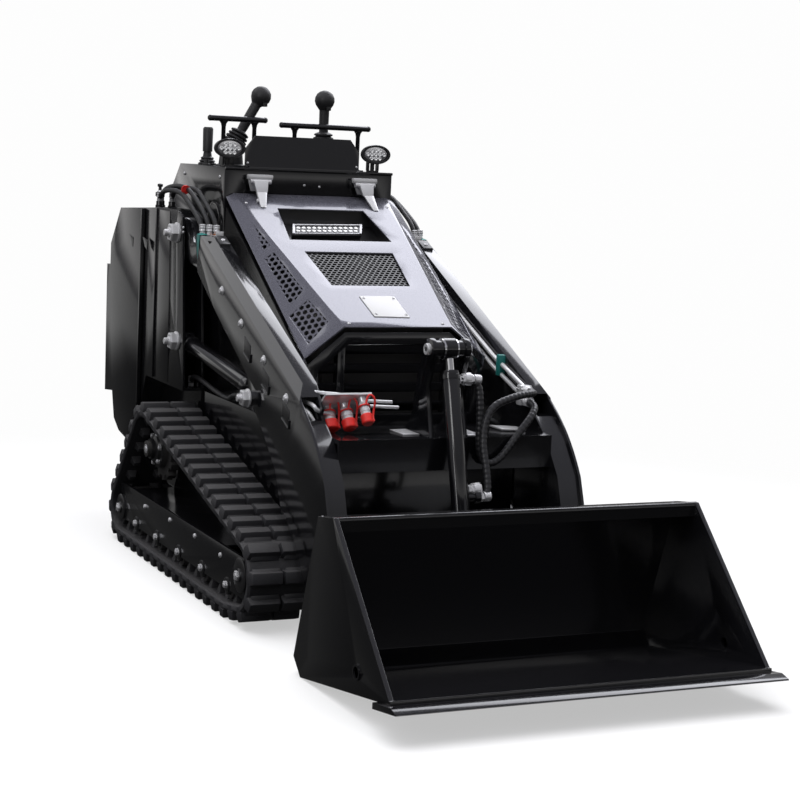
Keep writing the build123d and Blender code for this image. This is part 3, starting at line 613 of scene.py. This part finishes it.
LATCH_LINE = 181
for side in (RIGHT, LEFT):
    base, lever_kit = Kit(), Kit()
    y = side * LATCH_LINE
    base.hull([(x, y + side * b, z) for x in (-500, -480) for b in (-42, 41) for z in (1222, 1238)], 3)
    base.hull([(x, y + side * b, z) for x in (-498, -492)
               for b, z in ((-38, 1224), (38, 1224), (-22, 1186), (28, 1186))], 1)
    base.rod((-484, y - side * 36, 1216), (-484, y + side * 34, 1216), 8, 14)
    base.make("latch_base_" + side_name(side), "hood", ZINC, 30, "steel",
              ("hood_latches",) if side < 0 else ())
    lever_kit.hull([(-486 + 14 * a, y - side * b, 1220) for a in (0, 1) for b in (-26, 24)]
                   + [(-470 + 14 * a, y - side * b, 1182) for a in (0, 1) for b in (-20, 16)], 3)
    lever_kit.hull([(-470 + 14 * a, y - side * b, 1184) for a in (0, 1) for b in (-20, 14)]
                   + [(-424 + 12 * a, y - side * b, 1138) for a in (0, 1) for b in (-21, -3)], 3)
    lever_kit.rod((-446, y + side * 2, 1156), (-446, y + side * 24, 1156), 7, 12)
    lever_kit.make("latch_lever_" + side_name(side), "hood", ZINC, 30, "steel")

# Console, headboard, joysticks and lamps

small = Kit()
for y, z in ((-18, 1208), (34, 1205)):
    small.dome((-517, y, z), AHEAD, 4, 3)
for y in (-190, 190):
    small.dome((-582, y, 1272), AHEAD, 4, 3)
for side in (RIGHT, LEFT):
    for x, z in ((-560, 1225), (-920, 1225), (-1040, 900), (-1040, 620), (-560, 620)):
        small.dome((x, side * CONSOLE_SIDE, z), (0, side, 0), 6, 4)
small.make("console_screws", "chassis", ZINC, 32, "steel")

trim = Kit()
trim.box((-520, -508), (-CONSOLE_SIDE, CONSOLE_SIDE), (1250, 1259), 3)
for side in (RIGHT, LEFT):
    trim.turn((-610, side * 288.5, 1085), (0, side, 0), ((0, 60), (2.5, 60), (3.5, 58), (3.5, 50)), 40)
trim.make("dash_edge", "chassis", BLACK, 32, "black_paint")


JOYSTICK_LINE, JOYSTICK_TOP, JOYSTICK_FOOT = -690, 1488, 1318


def joystick(kit, y, lean, drop):
    """Round mount, bellows, shaft and knob; lean is how far the knob stands beside its foot."""
    head = Vector((JOYSTICK_LINE, y, JOYSTICK_TOP - drop))
    base = Vector((JOYSTICK_LINE, y - lean * 1.15, JOYSTICK_FOOT))
    way = (head - base).normalized()
    reach = (head - base).length
    kit.turn((base.x, base.y, CONSOLE_TOP), UP, ((0, 48), (5, 48), (8, 40), (48, 36), (52, 42), (60, 42),
                                                 (64, 34)), 32)
    rings = []
    for n in range(5):
        start = 2 + 12 * n
        wide = 42 - 2.8 * n
        rings += [(start, wide - 6), (start + 3, wide), (start + 7, wide), (start + 10, wide - 6)]
    kit.turn(base, way, [(0, 34)] + rings + [(64, 15)], 32)
    kit.turn(base + way * 56, way, ((0, 16), (12, 15), (24, 16), (reach - 92, 16.5), (reach - 84, 17),
                                    (reach - 66, 17)), 24)
    kit.turn(head - way * 34, way, ((0, 16), (8, 22), (18, 29), (30, 33), (42, 32), (54, 26), (62, 16),
                                    (66, 5)), 28)
    kit.hull([tuple(head + Vector((a, b + 6, -34 + c))) for a in (4, 26) for b in (-8, 8)
              for c in (0, 14)], 3)


sticks = Kit()
joystick(sticks, -112, 84, 0)
joystick(sticks, 112, 0, 2)
sticks.make("joystick_grips", "chassis", PLASTIC, 40, "grip", ("joysticks",))
lever = Kit()
lever.turn((-800, -252, CONSOLE_TOP), UP, ((0, 30), (6, 30), (9, 24), (14, 27), (18, 20), (24, 22), (28, 15),
                                           (42, 13), (44, 12), (44, 16), (118, 17), (124, 13)), 20)
lever.turn((-760, -268, CONSOLE_TOP), UP, ((0, 14), (4, 14), (6, 9), (20, 8)), 16)
lever.make("throttle_lever", "chassis", PLASTIC, 40, "grip")

for side in (RIGHT, LEFT):
    word = side_name(side)
    x, y, z = -574, side * 254, 1316
    shell = Kit()
    shell.turn((0, 0, 0), AHEAD, ((-52, 16), (-50, 26), (-34, 36), (-14, 47), (-8, 52), (0, 53), (4, 51),
                                      (4, 44), (-3, 41), (-3, 4)), 40)
    body = Kit()
    squeeze = Matrix.Translation(v(x, y, z)) @ Matrix.Diagonal((1, 1, 0.6, 1))
    body.copy(shell, squeeze)
    shell.bm.free()
    body.rod((x - 26, y, z - 24), (x - 26, y, CONSOLE_TOP + 1), 7, 14)
    body.box((x - 40, x - 8), (y - 16, y + 16), (CONSOLE_TOP, CONSOLE_TOP + 6), 1.5)
    for w in (-19, 15):
        body.hull([(x - a, y + w + b, c) for a in (36, 14) for b in (0, 4) for c in (1262, z - 16)], 1)
    body.make("lamp_shell_" + word, "chassis", SATIN, 40, "dark_paint", ("work_lamp_" + word,))
    glass = Kit()
    for row in (-1, 0, 1):
        for col in (-2, -1, 0, 1, 2):
            if abs(row) + abs(col) > 2 or (row and col in (-2, 2)):
                continue
            glass.turn((x - 2, y + col * 14.5, z + row * 13), AHEAD,
                       ((0, 2), (1, 5.5), (3.5, 6.4), (4.5, 5.2), (2, 3), (1.5, 1)), 10)
    glass.make("lamp_glass_" + word, "chassis", LENS, 30, "lamp")
    back = Kit()
    disk = Kit()
    disk.turn((0, 0, 0), AHEAD, ((-4, 38), (-2.5, 41), (-1.5, 40), (-1.2, 10)), 32)
    back.copy(disk, squeeze)
    disk.bm.free()
    back.make("lamp_reflector_" + word, "chassis", CHROME, 30, "lamp")

rails = Kit()
for low, high, height in ((-300, -115, 1410), (-55, 250, 1398)):
    for y in (low, high):
        rails.turn((-640, y, height), (0, 1 if y == high else -1, 0), ((-2, 9.4), (4, 9.4), (8, 6),
                                                                       (9, 2)), 18)
    for y in (low + 45, high - 35):
        rails.turn((-640, y, height - 26), UP, ((0, 7.2), (10, 9), (17, 14), (18, 8)), 16)
        rails.turn((-640, y, CONSOLE_TOP), UP, ((0, 16), (4, 16), (6, 9), (9, 7.2)), 18)
rails.make("rail_ends", "chassis", SATIN, 40, "dark_paint")


# Hoses

HOSE_STEP, CORD_STEP = 0.0028, 0.01


def even(points, step):
    """The same line with points at even distances, in metres."""
    total = path_length(points)
    count = max(2, int(total / step))
    found = []
    walked, index = 0.0, 0
    for i in range(count + 1):
        goal = total * i / count
        while index < len(points) - 2 and walked + (points[index + 1] - points[index]).length < goal:
            walked += (points[index + 1] - points[index]).length
            index += 1
        a, b = points[index], points[index + 1]
        found.append(a.lerp(b, min(1, max(0, (goal - walked) / max(1e-9, (b - a).length)))))
    return found


def crimp(kit, at, way, radius, length=34):
    """Silver sleeve over a hose's end, with a nut beyond it; way points from the hose to its fitting."""
    way = Vector(way).normalized()
    start = Vector(at) * 1000 - way * length
    kit.turn(start, way, ((0, radius * 1.02), (1, radius * 1.22), (4, radius * 1.28), (6, radius * 1.18),
                          (8, radius * 1.3), (12, radius * 1.3), (14, radius * 1.18), (16, radius * 1.3),
                          (length * 0.6, radius * 1.3), (length * 0.62, radius * 0.95),
                          (length * 0.7, radius * 0.95)), 22)
    kit.turn(start + way * length * 0.68, way, ((0, radius * 1.25), (length * 0.3, radius * 1.25)), 6, 0.8)


def hose_cord(name, points, radius, bodies, replaced=(), rib=0.0, pitch=12, paint=HOSE):
    """Ribbed hose along a curved route between two bodies, with a crimped sleeve on each."""
    path = line_points(points)
    kit = Kit()
    wave = (lambda d: 1 - rib + rib * abs(math.cos(math.pi * d / pitch)) ** 0.7) if rib else None
    kit.sweep(even(path, HOSE_STEP), radius, 14, wave)
    made = kit.make(name, None, paint, 70, "hose_rubber", replaced)
    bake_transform(made)
    for word, body, at, way in (("first", bodies[0], path[0], path[0] - path[1]),
                                ("last", bodies[1], path[-1], path[-1] - path[-2])):
        ends = Kit()
        crimp(ends, at, way, radius)
        ends.make(f"{name}_{word}_crimp", body, ZINC, 34, "steel")
    shown = even(path, CORD_STEP)


ARM_ROUTES = ((375, ((-915, 1130), (-915, 1166), (-700, 1174), (-600, 1138), (-462, 1074), (-462, 1044))),
              (340, ((-890, 1130), (-890, 1176), (-640, 1186), (-560, 1148), (-430, 1085), (-430, 1044))),
              (357.5, ((-950, 1130), (-950, 1172), (-720, 1192), (-600, 1160), (-446, 1080),
                       (-446, 1044))))
for number, (y, route) in enumerate(ARM_ROUTES):
    for side in (RIGHT, LEFT) if number < 2 else (RIGHT,):
        line = side * y
        hose_cord(f"arm_hose_{number + 1}_{side_name(side)}", [(x, line, z) for x, z in route], 8,
                  ("chassis", "lift_arms"),
                  ("arm_hoses",) if number == 0 and side == RIGHT else (), 0.09, 7)
TILT_ROUTES = (((570.2, 58, 721.6), (570.2, 86, 721.6), (588, 88, 640), (596, 84, 500), (594, 140, 482),
                (590, 210, 570), (560, 275, 625), (500, 303, 640), (443, 303, 640)),
               ((663.8, 58, 409.4), (663.8, 86, 409.4), (648, 88, 470), (612, 84, 560), (596, 110, 645),
                (584, 190, 672), (560, 262, 678), (500, 303, 670), (443, 303, 670)))
for number, route in enumerate(TILT_ROUTES):
    hose_cord(f"bucket_hose_{number + 1}", route, 11, ("tilt_barrel", "lift_arms"),
              ("tilt_hoses",) if number == 0 else (), 0.17, 14, GUARD)
LIFT_ROUTE = ((-620, -345, 548), (-620, -345, 585), (-500, -345, 580), (-380, -347, 565),
              (-230, -350, 556), (-170, -357.5, 584), (-92, -357.5, 584))
for side in (RIGHT, LEFT):
    word = side_name(side)
    put = [(x, -side * y, z) for x, y, z in LIFT_ROUTE]
    hose_cord("lift_hose_line_" + word, put, 8, ("chassis", "lift_barrel_" + word),
              ("lift_hose_" + word,), 0.05, 7)

tag = Kit()
tag.turn((-672, -366, 1178), (1, 0, -0.2), ((0, 15), (4, 15)), 12)
tag.make("red_band", "chassis", RED, 30, "red_cap")
necks = Kit()
for side in (RIGHT, LEFT):
    for x, y in ((-915, 375), (-890, 340), (-950, 357.5)):
        necks.turn((x, side * y, 1106), UP, ((0, 15), (10, 15), (11, 12), (22, 12)), 6)
    necks.turn((-985, side * 352, 1100), UP, ((0, 14), (14, 14), (16, 10), (40, 9), (44, 15), (56, 15),
                                              (60, 6), (74, 5), (76, 9), (84, 9), (86, 3)), 14)
necks.make("tank_fittings", "chassis", SATIN, 34, "dark_paint")

# Lift arms

def arm_top(x):
    return 1044 - (x + 380) * 352 / 780


ARM_BOLTS = ((-220, 891), (-41, 810), (157, 726), (342, 642))
ARM_SLOTS = ((20, 744), (178, 672), (345, 600))
bolts, dark, copper, ties = Kit(), Kit(), Kit(), Kit()
for side in (RIGHT, LEFT):
    out = (0, side, 0)
    for x, z in ARM_BOLTS:
        bolts.dome((x, side * ARM_FACE, z), out, 11.5, 9)
        bolts.turn((x, side * (ARM_FACE - 1), z), out, ((0, 15), (2.2, 15), (3, 13)), 24)
    eye_x, eye_z = LIFT_EYE
    bolts.nut((eye_x, side * 411, eye_z), out, 44, 24)
    bolts.rod((eye_x, side * 430, eye_z), (eye_x, side * 446, eye_z), 10, 18, 2)
    face = side * ARM_FACE
    for x, z in ARM_SLOTS:
        dark.hull([(x + a, face + side * b, z + c + a * -0.42) for a in (-28, 26) for b in (-1, 1.2)
                   for c in (-26, 22)], 1.2)
        for a, b in (((-28, -16), (26, -38)), ((26, -38), (30, -14))):
            proud = face + side * 1.4
            dark.rod((x + a[0], proud, z + a[1]), (x + b[0], proud, z + b[1]), 3.2, 10)
    dark.hull([(x, side * y, arm_top(x) + h) for x in (-378, -330) for y in (328, 362)
               for h in (-1, 5)], 1.4)
    bolts.dome((-352, side * 345, arm_top(-352) + 5), (0.41, 0, 0.91), 7, 4)
    copper.turn((-430, side * 340, 1043), UP, ((0, 12), (8, 12), (9, 9), (14, 9)), 6)
    bolts.hull([(x, side * y, z) for x in (-452, -400) for y in (327, 352) for z in (1043, 1047)], 1)
    bolts.hull([(x, side * y, z) for x in (-404, -399) for y in (327, 352) for z in (1040, 1060)], 1)
    ties.hull([(-470, side * 391.5, 1040), (-440, side * 391.5, 1042), (-452, side * 392.5, 968),
               (-462, side * 393, 1000), (-470, side * 390, 1046), (-440, side * 390, 1046)], 0.5)
    ties.hull([(-474, side * 392, 1046), (-436, side * 392, 1046), (-474, side * 366, 1047),
               (-436, side * 366, 1047), (-455, side * 380, 1052)], 0.5)
bolts.make("arm_bolts", "lift_arms", ZINC, 32, "steel")
dark.make("arm_slots", "lift_arms", SATIN, 32, "dark_paint")
copper.make("arm_plugs", "lift_arms", COPPER, 32, "steel")
ties.make("hose_ties", "lift_arms", TEAL, 32, "grip")

inner = Kit()
for rise in (0, 30):
    inner.turn((414, 303, 640 + rise), AHEAD, ((0, 14), (16, 14), (18, 11), (30, 11)), 6)
    inner.turn((-340, 313, 958 + rise), (0.84, 0, -0.54), ((0, 9), (14, 9), (16, 12), (30, 12)), 6)
inner.make("tube_nuts", "lift_arms", ZINC, 32, "steel")
clamp = Kit()
clamp.hull([(262 + a, y, 706 + b) for a in (-12, 12) for y in (306, 326) for b in (-16, 46)], 3)
clamp.make("tube_clamp", "lift_arms", TEAL, 32, "grip")

# Auxiliary couplers

slant, side_way = Vector((0.62, 0, -0.785)), Vector(ACROSS)
COUPLERS = (((411, -298, 622), 24, 12), ((423, -250, 637), 20, 24), ((453, -210, 655), 17, 24))
silver, red = Kit(), Kit()
for place, r, shift in COUPLERS:
    at = Vector(place) + slant * shift
    silver.turn(at - slant * 14, slant, ((0, r * 0.6), (6, r * 0.6), (6, r * 0.82), (14, r * 0.82)), 6)
    silver.turn(at, slant, ((0, r * 0.8), (4, r * 0.84), (6, r * 0.84), (7, r * 0.76), (10, r * 0.76),
                            (11, r * 0.84), (20, r * 0.84), (21, r * 0.78), (31, r * 0.78)), 32)
    red.turn(at + slant * 29, slant, ((0, r * 0.9), (1.5, r), (5, r), (7, r * 0.97), (22, r * 0.96),
                                      (26, r * 0.9), (27.5, r * 0.8), (27.5, 2)), 36)
    ring = [at + slant * 3 + Vector((0.785 * math.cos(a), 0, 0.62 * math.cos(a))) * r * 0.9
            + Vector((0, math.sin(a), 0)) * r * 0.9 for a in (math.pi * 2 * k / 24 for k in range(25))]
    red.sweep([p / 1000 for p in ring], 2.6, 8)
    loop = [at + slant * 3 + Vector((-0.785, 0, -0.62)) * -r * 0.9, at + Vector((8, 4, r * 1.5)),
            at + Vector((12, 14, r * 2.1)), at + Vector((20, 26, r * 1.2)),
            at + slant * 24 + side_way * r * 1.25, at + slant * 46 + side_way * r * 0.98]
    red.sweep(line_points([tuple(p) for p in loop]), 3.0, 8)
    red.hull([tuple(at + slant * a + side_way * r * b + Vector((c, 0, c * 0.8))) for a in (36, 52)
              for b in (0.9, 1.12) for c in (-5, 5)], 1.5)
for points, r in ((((392, -352, 672), (405, -345, 672), (424, -325, 668), (426, -242, 662), (424, -216, 634),
                    (424, -200, 630), (424, -86, 624)), 5),
                  (((392, -362, 655), (402, -345, 662), (404, -300, 668), (402, -270, 648), (402, -240, 644),
                    (402, -96, 636)), 5),
                  (((380, -356, 640), (440, -350, 640), (446, -338, 618), (440, -300, 612)), 6),
                  (((380, -368, 626), (436, -366, 622), (452, -352, 596), (452, -338, 578)), 6),
                  (((380, -345, 620), (430, -340, 600), (440, -338, 570)), 4.5)):
    silver.sweep(even(line_points(points), 0.004), r, 12)
silver.box((396, 452), (-200, -194), (588, 596), 1)
silver.make("coupler_bodies", "lift_arms", ZINC, 34, "steel")
red.make("coupler_dust_caps", "lift_arms", RED, 40, "red_cap", ("coupler_caps",))

# Bucket cylinder, its pins and the silver corner plates

tip, foot = Vector((TILT_TOP[0], 0, TILT_TOP[1])), Vector((TILT_BASE[0], 0, TILT_BASE[1]))
span = (foot - tip).normalized()
pins, collars = Kit(), Kit()
for side in (RIGHT, LEFT):
    out = Vector((0, side, 0))
    pins.turn(tip + out * 58, out, ((0, 17), (6, 17), (7, 15), (10, 15), (10, 8), (8.5, 7)), 30)
    pins.nut(foot + out * 47, out, 26, 14)
    collars.turn(tip + out * 36, out, ((-13, 24), (8, 24), (9, 22)), 30)
pins.make("bucket_cylinder_pins", "lift_arms", ZINC, 34, "steel")
collars.make("bucket_cylinder_spacers", "lift_arms", BLACK, 34, "black_paint")
sleeve = Kit()
sleeve.turn(tip - side_way * 17, ACROSS, ((0, 28), (0, 30.5), (34, 30.5), (34, 28)), 36)
sleeve.make("bucket_rod_eye_sleeve", "tilt_rod", BLACK, 34, "black_paint")
gland = Kit()
gland.turn(tip + span * 60, span, ((0, 19), (2, 24), (10, 25.5), (12, 25.5), (13, 27), (24, 27),
                                   (25, 25.2)), 36)
gland.make("bucket_cylinder_gland", "tilt_barrel", BLACK, 34, "black_paint")
banjo = Kit()
for along in (84, 388):
    at = tip + span * along
    banjo.turn(at + side_way * 24, ACROSS, ((0, 14), (4, 14), (5, 12), (10, 12), (11, 15.5), (24, 15.5),
                                            (26, 18), (38, 18), (40, 14)), 6)
    banjo.turn(at + side_way * 40, ACROSS, ((0, 17), (18, 17.6), (22, 14), (24, 9)), 24)
banjo.make("bucket_cylinder_fittings", "tilt_barrel", ZINC, 34, "steel")
corner = Kit()
for y in ((-112, -62), (62, 112)):
    corner.box((430, 520), y, (560, 564), 1)
corner.hull([(x, y, 564 + h) for x, y in ((404, 215), (440, 282), (480, 215), (500, 282))
             for h in (-3, 2)], 1)
corner.box((520, 572), (64, 96), (562, 566), 1)
corner.make("corner_plates", "lift_arms", STEEL, 34, "steel")
caps = Kit()
for side in (RIGHT, LEFT):
    x, z = BUCKET_PIVOT
    caps.turn((x, side * 410, z), (0, side, 0), ((0, 30), (5, 30), (6, 27), (6, 14), (10, 12)), 32)
    caps.dome((x + 24, side * 410, z + 20), (0, side, 0), 6, 5)
caps.make("bucket_pin_caps", "bucket", ZINC, 34, "steel")

# Lift cylinders

for side in (RIGHT, LEFT):
    word = side_name(side)
    base, eye = (Vector((x, side * LIFT_LINE, z)) for x, z in (LIFT_BASE, LIFT_EYE))
    way = (eye - base).normalized()
    end = (eye - base).length - 120
    sleeve = Kit()
    sleeve.turn(base + way * (end - 34), way, ((0, 26), (1, 29), (30, 29), (33, 27), (36, 20),
                                               (36, 15.3)), 32)
    sleeve.turn(base + way * 44, way, ((0, 27.5), (14, 27.5), (15, 26)), 32)
    sleeve.make("lift_gland_" + word, "lift_barrel_" + word, BLACK, 34, "black_paint")

# Towers and side tanks

tower_nuts, panel = Kit(), Kit()
for side in (RIGHT, LEFT):
    out = (0, side, 0)
    for (x, z), across, height, first, last in ((ARM_PIVOT, 54, 30, 25, 45), (LIFT_BASE, 50, 28, 23, 43)):
        tower_nuts.nut((x, side * TOWER_FACE, z), out, across, height)
        tower_nuts.rod((x, side * (TOWER_FACE + first), z), (x, side * (TOWER_FACE + last), z), 11, 18, 2)
    for z in (1045, 1060):
        tower_nuts.dome((-596, side * TOWER_FACE, z), out, 4, 4)
    face = side * TOWER_FACE
    panel.hull([(x, face + side * h, z) for x, z in ((-868, 548), (-868, 1104), (-738, 1104), (-712, 548))
                for h in (-2, 1.5)], 0.8)
    panel.box((-882, -872), sorted((side * 398, side * 386)), (545, 1108), 1.5)
    wall = side * TANK_FACE
    panel.hull([(x, wall + side * h, z) for x, z in ((-1016, 440), (-1016, 1099), (-1006, 1099),
                                                     (-1006, 440)) for h in (-9, 3)], 1)
    for x, z in ((-1124, 986), (-961, 986)):
        panel.hull([(x + a, wall + side * h, z + b) for a, b in ((-30, 20), (26, 12), (20, -22), (-4, -12))
                    for h in (-1, 1.2)], 0.6)
tower_nuts.make("tower_nuts", "chassis", ZINC, 32, "steel")
panel.make("tower_panels", "chassis", BLACK, 32, "black_paint")

# Track frames, hubs and rollers

hubs, frame_bolts, dark_wheels, rods = Kit(), Kit(), Kit(), Kit()
for side in (RIGHT, LEFT):
    out = (0, side, 0)
    x, z = SPROCKET
    dark_wheels.turn((x, side * 454, z), out, ((0, 62), (8, 60), (12, 50), (20, 46), (24, 34), (34, 32)), 36)
    for k in range(6):
        a = math.radians(60 * k + 12)
        hubs.nut((x + 48 * math.cos(a), side * 466, z + 48 * math.sin(a)), out, 15, 9)
    hubs.nut((x, side * 486, z), out, 30, 16)
    for (x, z), r in ((REAR_WHEEL, 44), (FRONT_WHEEL, 50)):
        dark_wheels.turn((x, side * TRACK_FACE, z), out, ((0, r), (3, r), (5, r - 5), (5, 20), (9, 18)), 32)
        hubs.nut((x, side * (TRACK_FACE + 5), z), out, 26, 12)
    for number in range(5):
        x = -650 + 220 * number
        dark_wheels.turn((x, side * TRACK_FACE, 96), out, ((0, 22), (3, 22), (4, 19)), 24)
        hubs.nut((x, side * (TRACK_FACE + 3), 96), out, 18, 9)
    for x, z in ((-560, 168), (-300, 176), (-60, 176), (170, 168)):
        frame_bolts.dome((x, side * (TRACK_FACE + 1), z), out, 8, 6)
    rods.rod((-640, side * 400, 300), (-590, side * 470, 318), 7, 14)
    rods.rod((240, side * 420, 150), (300, side * 420, 148), 16, 18)
hubs.make("hub_nuts", "chassis", ZINC, 32, "steel")
frame_bolts.make("frame_bolts", "chassis", ZINC, 32, "steel")
dark_wheels.make("hub_covers", "chassis", SATIN, 34, "cast_wheel")
rods.make("motor_pipes", "chassis", COPPER, 34, "steel")

# Bucket welds and bright edge

weld = Kit()
for side in (RIGHT, LEFT):
    y = side * 512
    for a, b in (((930, 428), (806, 46)), ((806, 46), (856, 5)), ((856, 5), (1398, 90))):
        weld.rod((a[0], y, a[1] + 3), (b[0], y, b[1] + 3), 4.5, 8)
    weld.turn((1205, side * 524, 110), (0, side, 0), ((0, 20), (3, 20), (3.5, 18), (3.5, 14.5),
                                                      (0, 14.2)), 28)
weld.rod((1330, -520, 76), (1330, 520, 76), 3.5, 8)
weld.make("bucket_welds", "bucket", BLACK, 40, "black_paint")
worn = Kit()
worn.box((1452, 1458), (-536, 536), (78.5, 82), 0.8)
worn.make("worn_lip", "bucket", STEEL, 34, "steel")

# Platform tread

tread = Kit()
diamond = Kit()
diamond.hull([(-10, -3, 0), (10, 3, 0), (-10, 3, 0), (10, -3, 0), (-6, 0, 2.2), (6, 0, 2.2)], 0)
for i in range(9):
    for j in range(17):
        turn = Matrix.Rotation(math.radians(45 if (i + j) % 2 else -45), 4, "Z")
        tread.copy(diamond, Matrix.Translation(v(-1434 + 33 * i, -264 + 33 * j, 255)) @ turn)
diamond.bm.free()
tread.make("platform_tread", "platform", SATIN, 30, "dark_paint")


# Camera, floor and light

YAW, PITCH, ROLL = 0.43512, 0.13305, 0.04610
CAMERA_AT = (5.196, -2.29955, 1.34927)
LENS_PIXELS, PHOTO_PIXELS, SENSOR = 1899, 800, 36
WHITE = (0.985, 0.985, 0.985, 1)


def look():
    forward = Vector((-math.cos(YAW) * math.cos(PITCH), math.sin(YAW) * math.cos(PITCH), -math.sin(PITCH)))
    right = forward.cross(Vector(UP)).normalized()
    up = right.cross(forward)
    tilted_right = right * math.cos(ROLL) + up * math.sin(ROLL)
    tilted_up = -right * math.sin(ROLL) + up * math.cos(ROLL)
    lens = bpy.data.cameras.new("camera")
    lens.lens = LENS_PIXELS / PHOTO_PIXELS * SENSOR
    lens.sensor_width = SENSOR
    lens.clip_end = 200
    camera = bpy.data.objects.new("camera", lens)
    turn = Matrix((tilted_right, tilted_up, -forward)).transposed().to_4x4()
    camera.matrix_world = Matrix.Translation(CAMERA_AT) @ turn
    scene.collection.objects.link(camera)
    scene.camera = camera


def build_floor():
    """White ground with a soft shadow near the machine; reflections see it dark, and pale far behind."""
    bpy.ops.mesh.primitive_plane_add(size=120, location=(0, 0, -0.0006))
    floor = bpy.context.object
    floor.name = "floor"
    paint = bpy.data.materials.new("floor_white")
    paint.use_nodes = True
    tree = paint.node_tree
    tree.nodes.clear()
    out = add(tree, "ShaderNodeOutputMaterial")
    lit = add(tree, "ShaderNodeBsdfDiffuse", {"Color": (0.72, 0.72, 0.73, 1)})
    plain = add(tree, "ShaderNodeEmission", {"Color": WHITE})
    dark = add(tree, "ShaderNodeEmission")
    split = add(tree, "ShaderNodeSeparateXYZ")
    behind = add(tree, "ShaderNodeMapRange", {"From Min": -4.2, "From Max": -8.0, "To Min": 0.035,
                                              "To Max": 0.33}, interpolation_type="SMOOTHSTEP")
    place = add(tree, "ShaderNodeTexCoord")
    far = add(tree, "ShaderNodeVectorMath", operation="LENGTH")
    fade = add(tree, "ShaderNodeMapRange", {"From Min": 1.7, "From Max": 3.2, "To Min": 0.5},
               interpolation_type="SMOOTHSTEP")
    near = add(tree, "ShaderNodeMixShader")
    seen = add(tree, "ShaderNodeMixShader")
    path = add(tree, "ShaderNodeLightPath")
    wire(tree, (place, "Object", far, 0), (place, "Object", split, 0),
         (split, "X", behind, "Value"), (behind, 0, dark, "Strength"),
         (far, "Value", fade, "Value"), (fade, 0, near, 0),
         (lit, 0, near, 1), (plain, 0, near, 2),
         (path, "Is Camera Ray", seen, 0), (dark, 0, seen, 1),
         (near, 0, seen, 2), (seen, 0, out, "Surface"))
    floor.data.materials.append(paint)


def hold(name, lamp, way):
    """Object for a lamp that shines along way."""
    holder = bpy.data.objects.new(name, lamp)
    holder.rotation_mode = "QUATERNION"
    holder.rotation_quaternion = way.to_track_quat("-Z", "Y")
    scene.collection.objects.link(holder)
    return holder


def area(name, at, aim, size, power, color=(1, 1, 1)):
    lamp = bpy.data.lights.new(name, "AREA")
    lamp.shape = "RECTANGLE"
    lamp.size, lamp.size_y = size
    lamp.energy = power
    lamp.color = color
    holder = hold(name, lamp, Vector(aim) - Vector(at))
    holder.location = at
    return holder


def sun(name, way, spread, strength):
    lamp = bpy.data.lights.new(name, "SUN")
    lamp.angle = math.radians(spread)
    lamp.energy = strength
    return hold(name, lamp, Vector(way))


SKY = ((0.0, (0.05, 0.05, 0.055, 1)), (0.04, (0.75, 0.74, 0.74, 1)), (0.22, (0.20, 0.20, 0.21, 1)),
       (0.6, (0.30, 0.30, 0.33, 1)), (1.0, (0.30, 0.30, 0.34, 1)))


def build_world():
    """White for the camera; for light and reflections a dim sky with a pale band over the horizon."""
    world = bpy.data.worlds.new("studio")
    scene.world = world
    world.use_nodes = True
    tree = world.node_tree
    tree.nodes.clear()
    out = add(tree, "ShaderNodeOutputWorld")
    mix = add(tree, "ShaderNodeMixShader")
    seen = add(tree, "ShaderNodeBackground", {"Color": WHITE})
    rest = add(tree, "ShaderNodeBackground")
    path = add(tree, "ShaderNodeLightPath")
    place = add(tree, "ShaderNodeTexCoord")
    split = add(tree, "ShaderNodeSeparateXYZ")
    ramp = add(tree, "ShaderNodeValToRGB")
    marks = ramp.color_ramp.elements
    for mark, (spot, shade) in ((marks[0], SKY[0]), (marks[1], SKY[-1])):
        mark.position = spot
        mark.color = shade
    for spot, shade in SKY[1:-1]:
        marks.new(spot).color = shade
    wire(tree, (place, "Generated", split, 0), (split, "Z", ramp, 0),
         (ramp, 0, rest, "Color"), (path, "Is Camera Ray", mix, 0),
         (rest, 0, mix, 1), (seen, 0, mix, 2),
         (mix, 0, out, "Surface"))


look()
build_floor()
build_world()
high = sun("high", (0.10, 0.12, -1.0), 70, 3.2)
over = area("overhead", (0.3, -0.2, 4.8), (0.2, 0, 0.4), (5.5, 4.0), 150)
sky = area("sky", (-3.6, 3.9, 5.6), (0.0, 0.0, 1.0), (8.0, 4.4), 338, (0.93, 0.94, 1.0))
side_sky = area("side_sky", (-4.4, -3.9, 6.0), (0.0, 0.0, 1.0), (4.6, 3.6), 50)
area("key", (3.6, -4.6, 3.4), (0.2, 0, 0.5), (1.6, 2.4), 45)
for lamp in (high, over):
    lamp.visible_glossy = False
for lamp in (sky, side_sky):
    lamp.visible_diffuse = False
scene.view_settings.view_transform = "Standard"
scene.view_settings.look = "None"
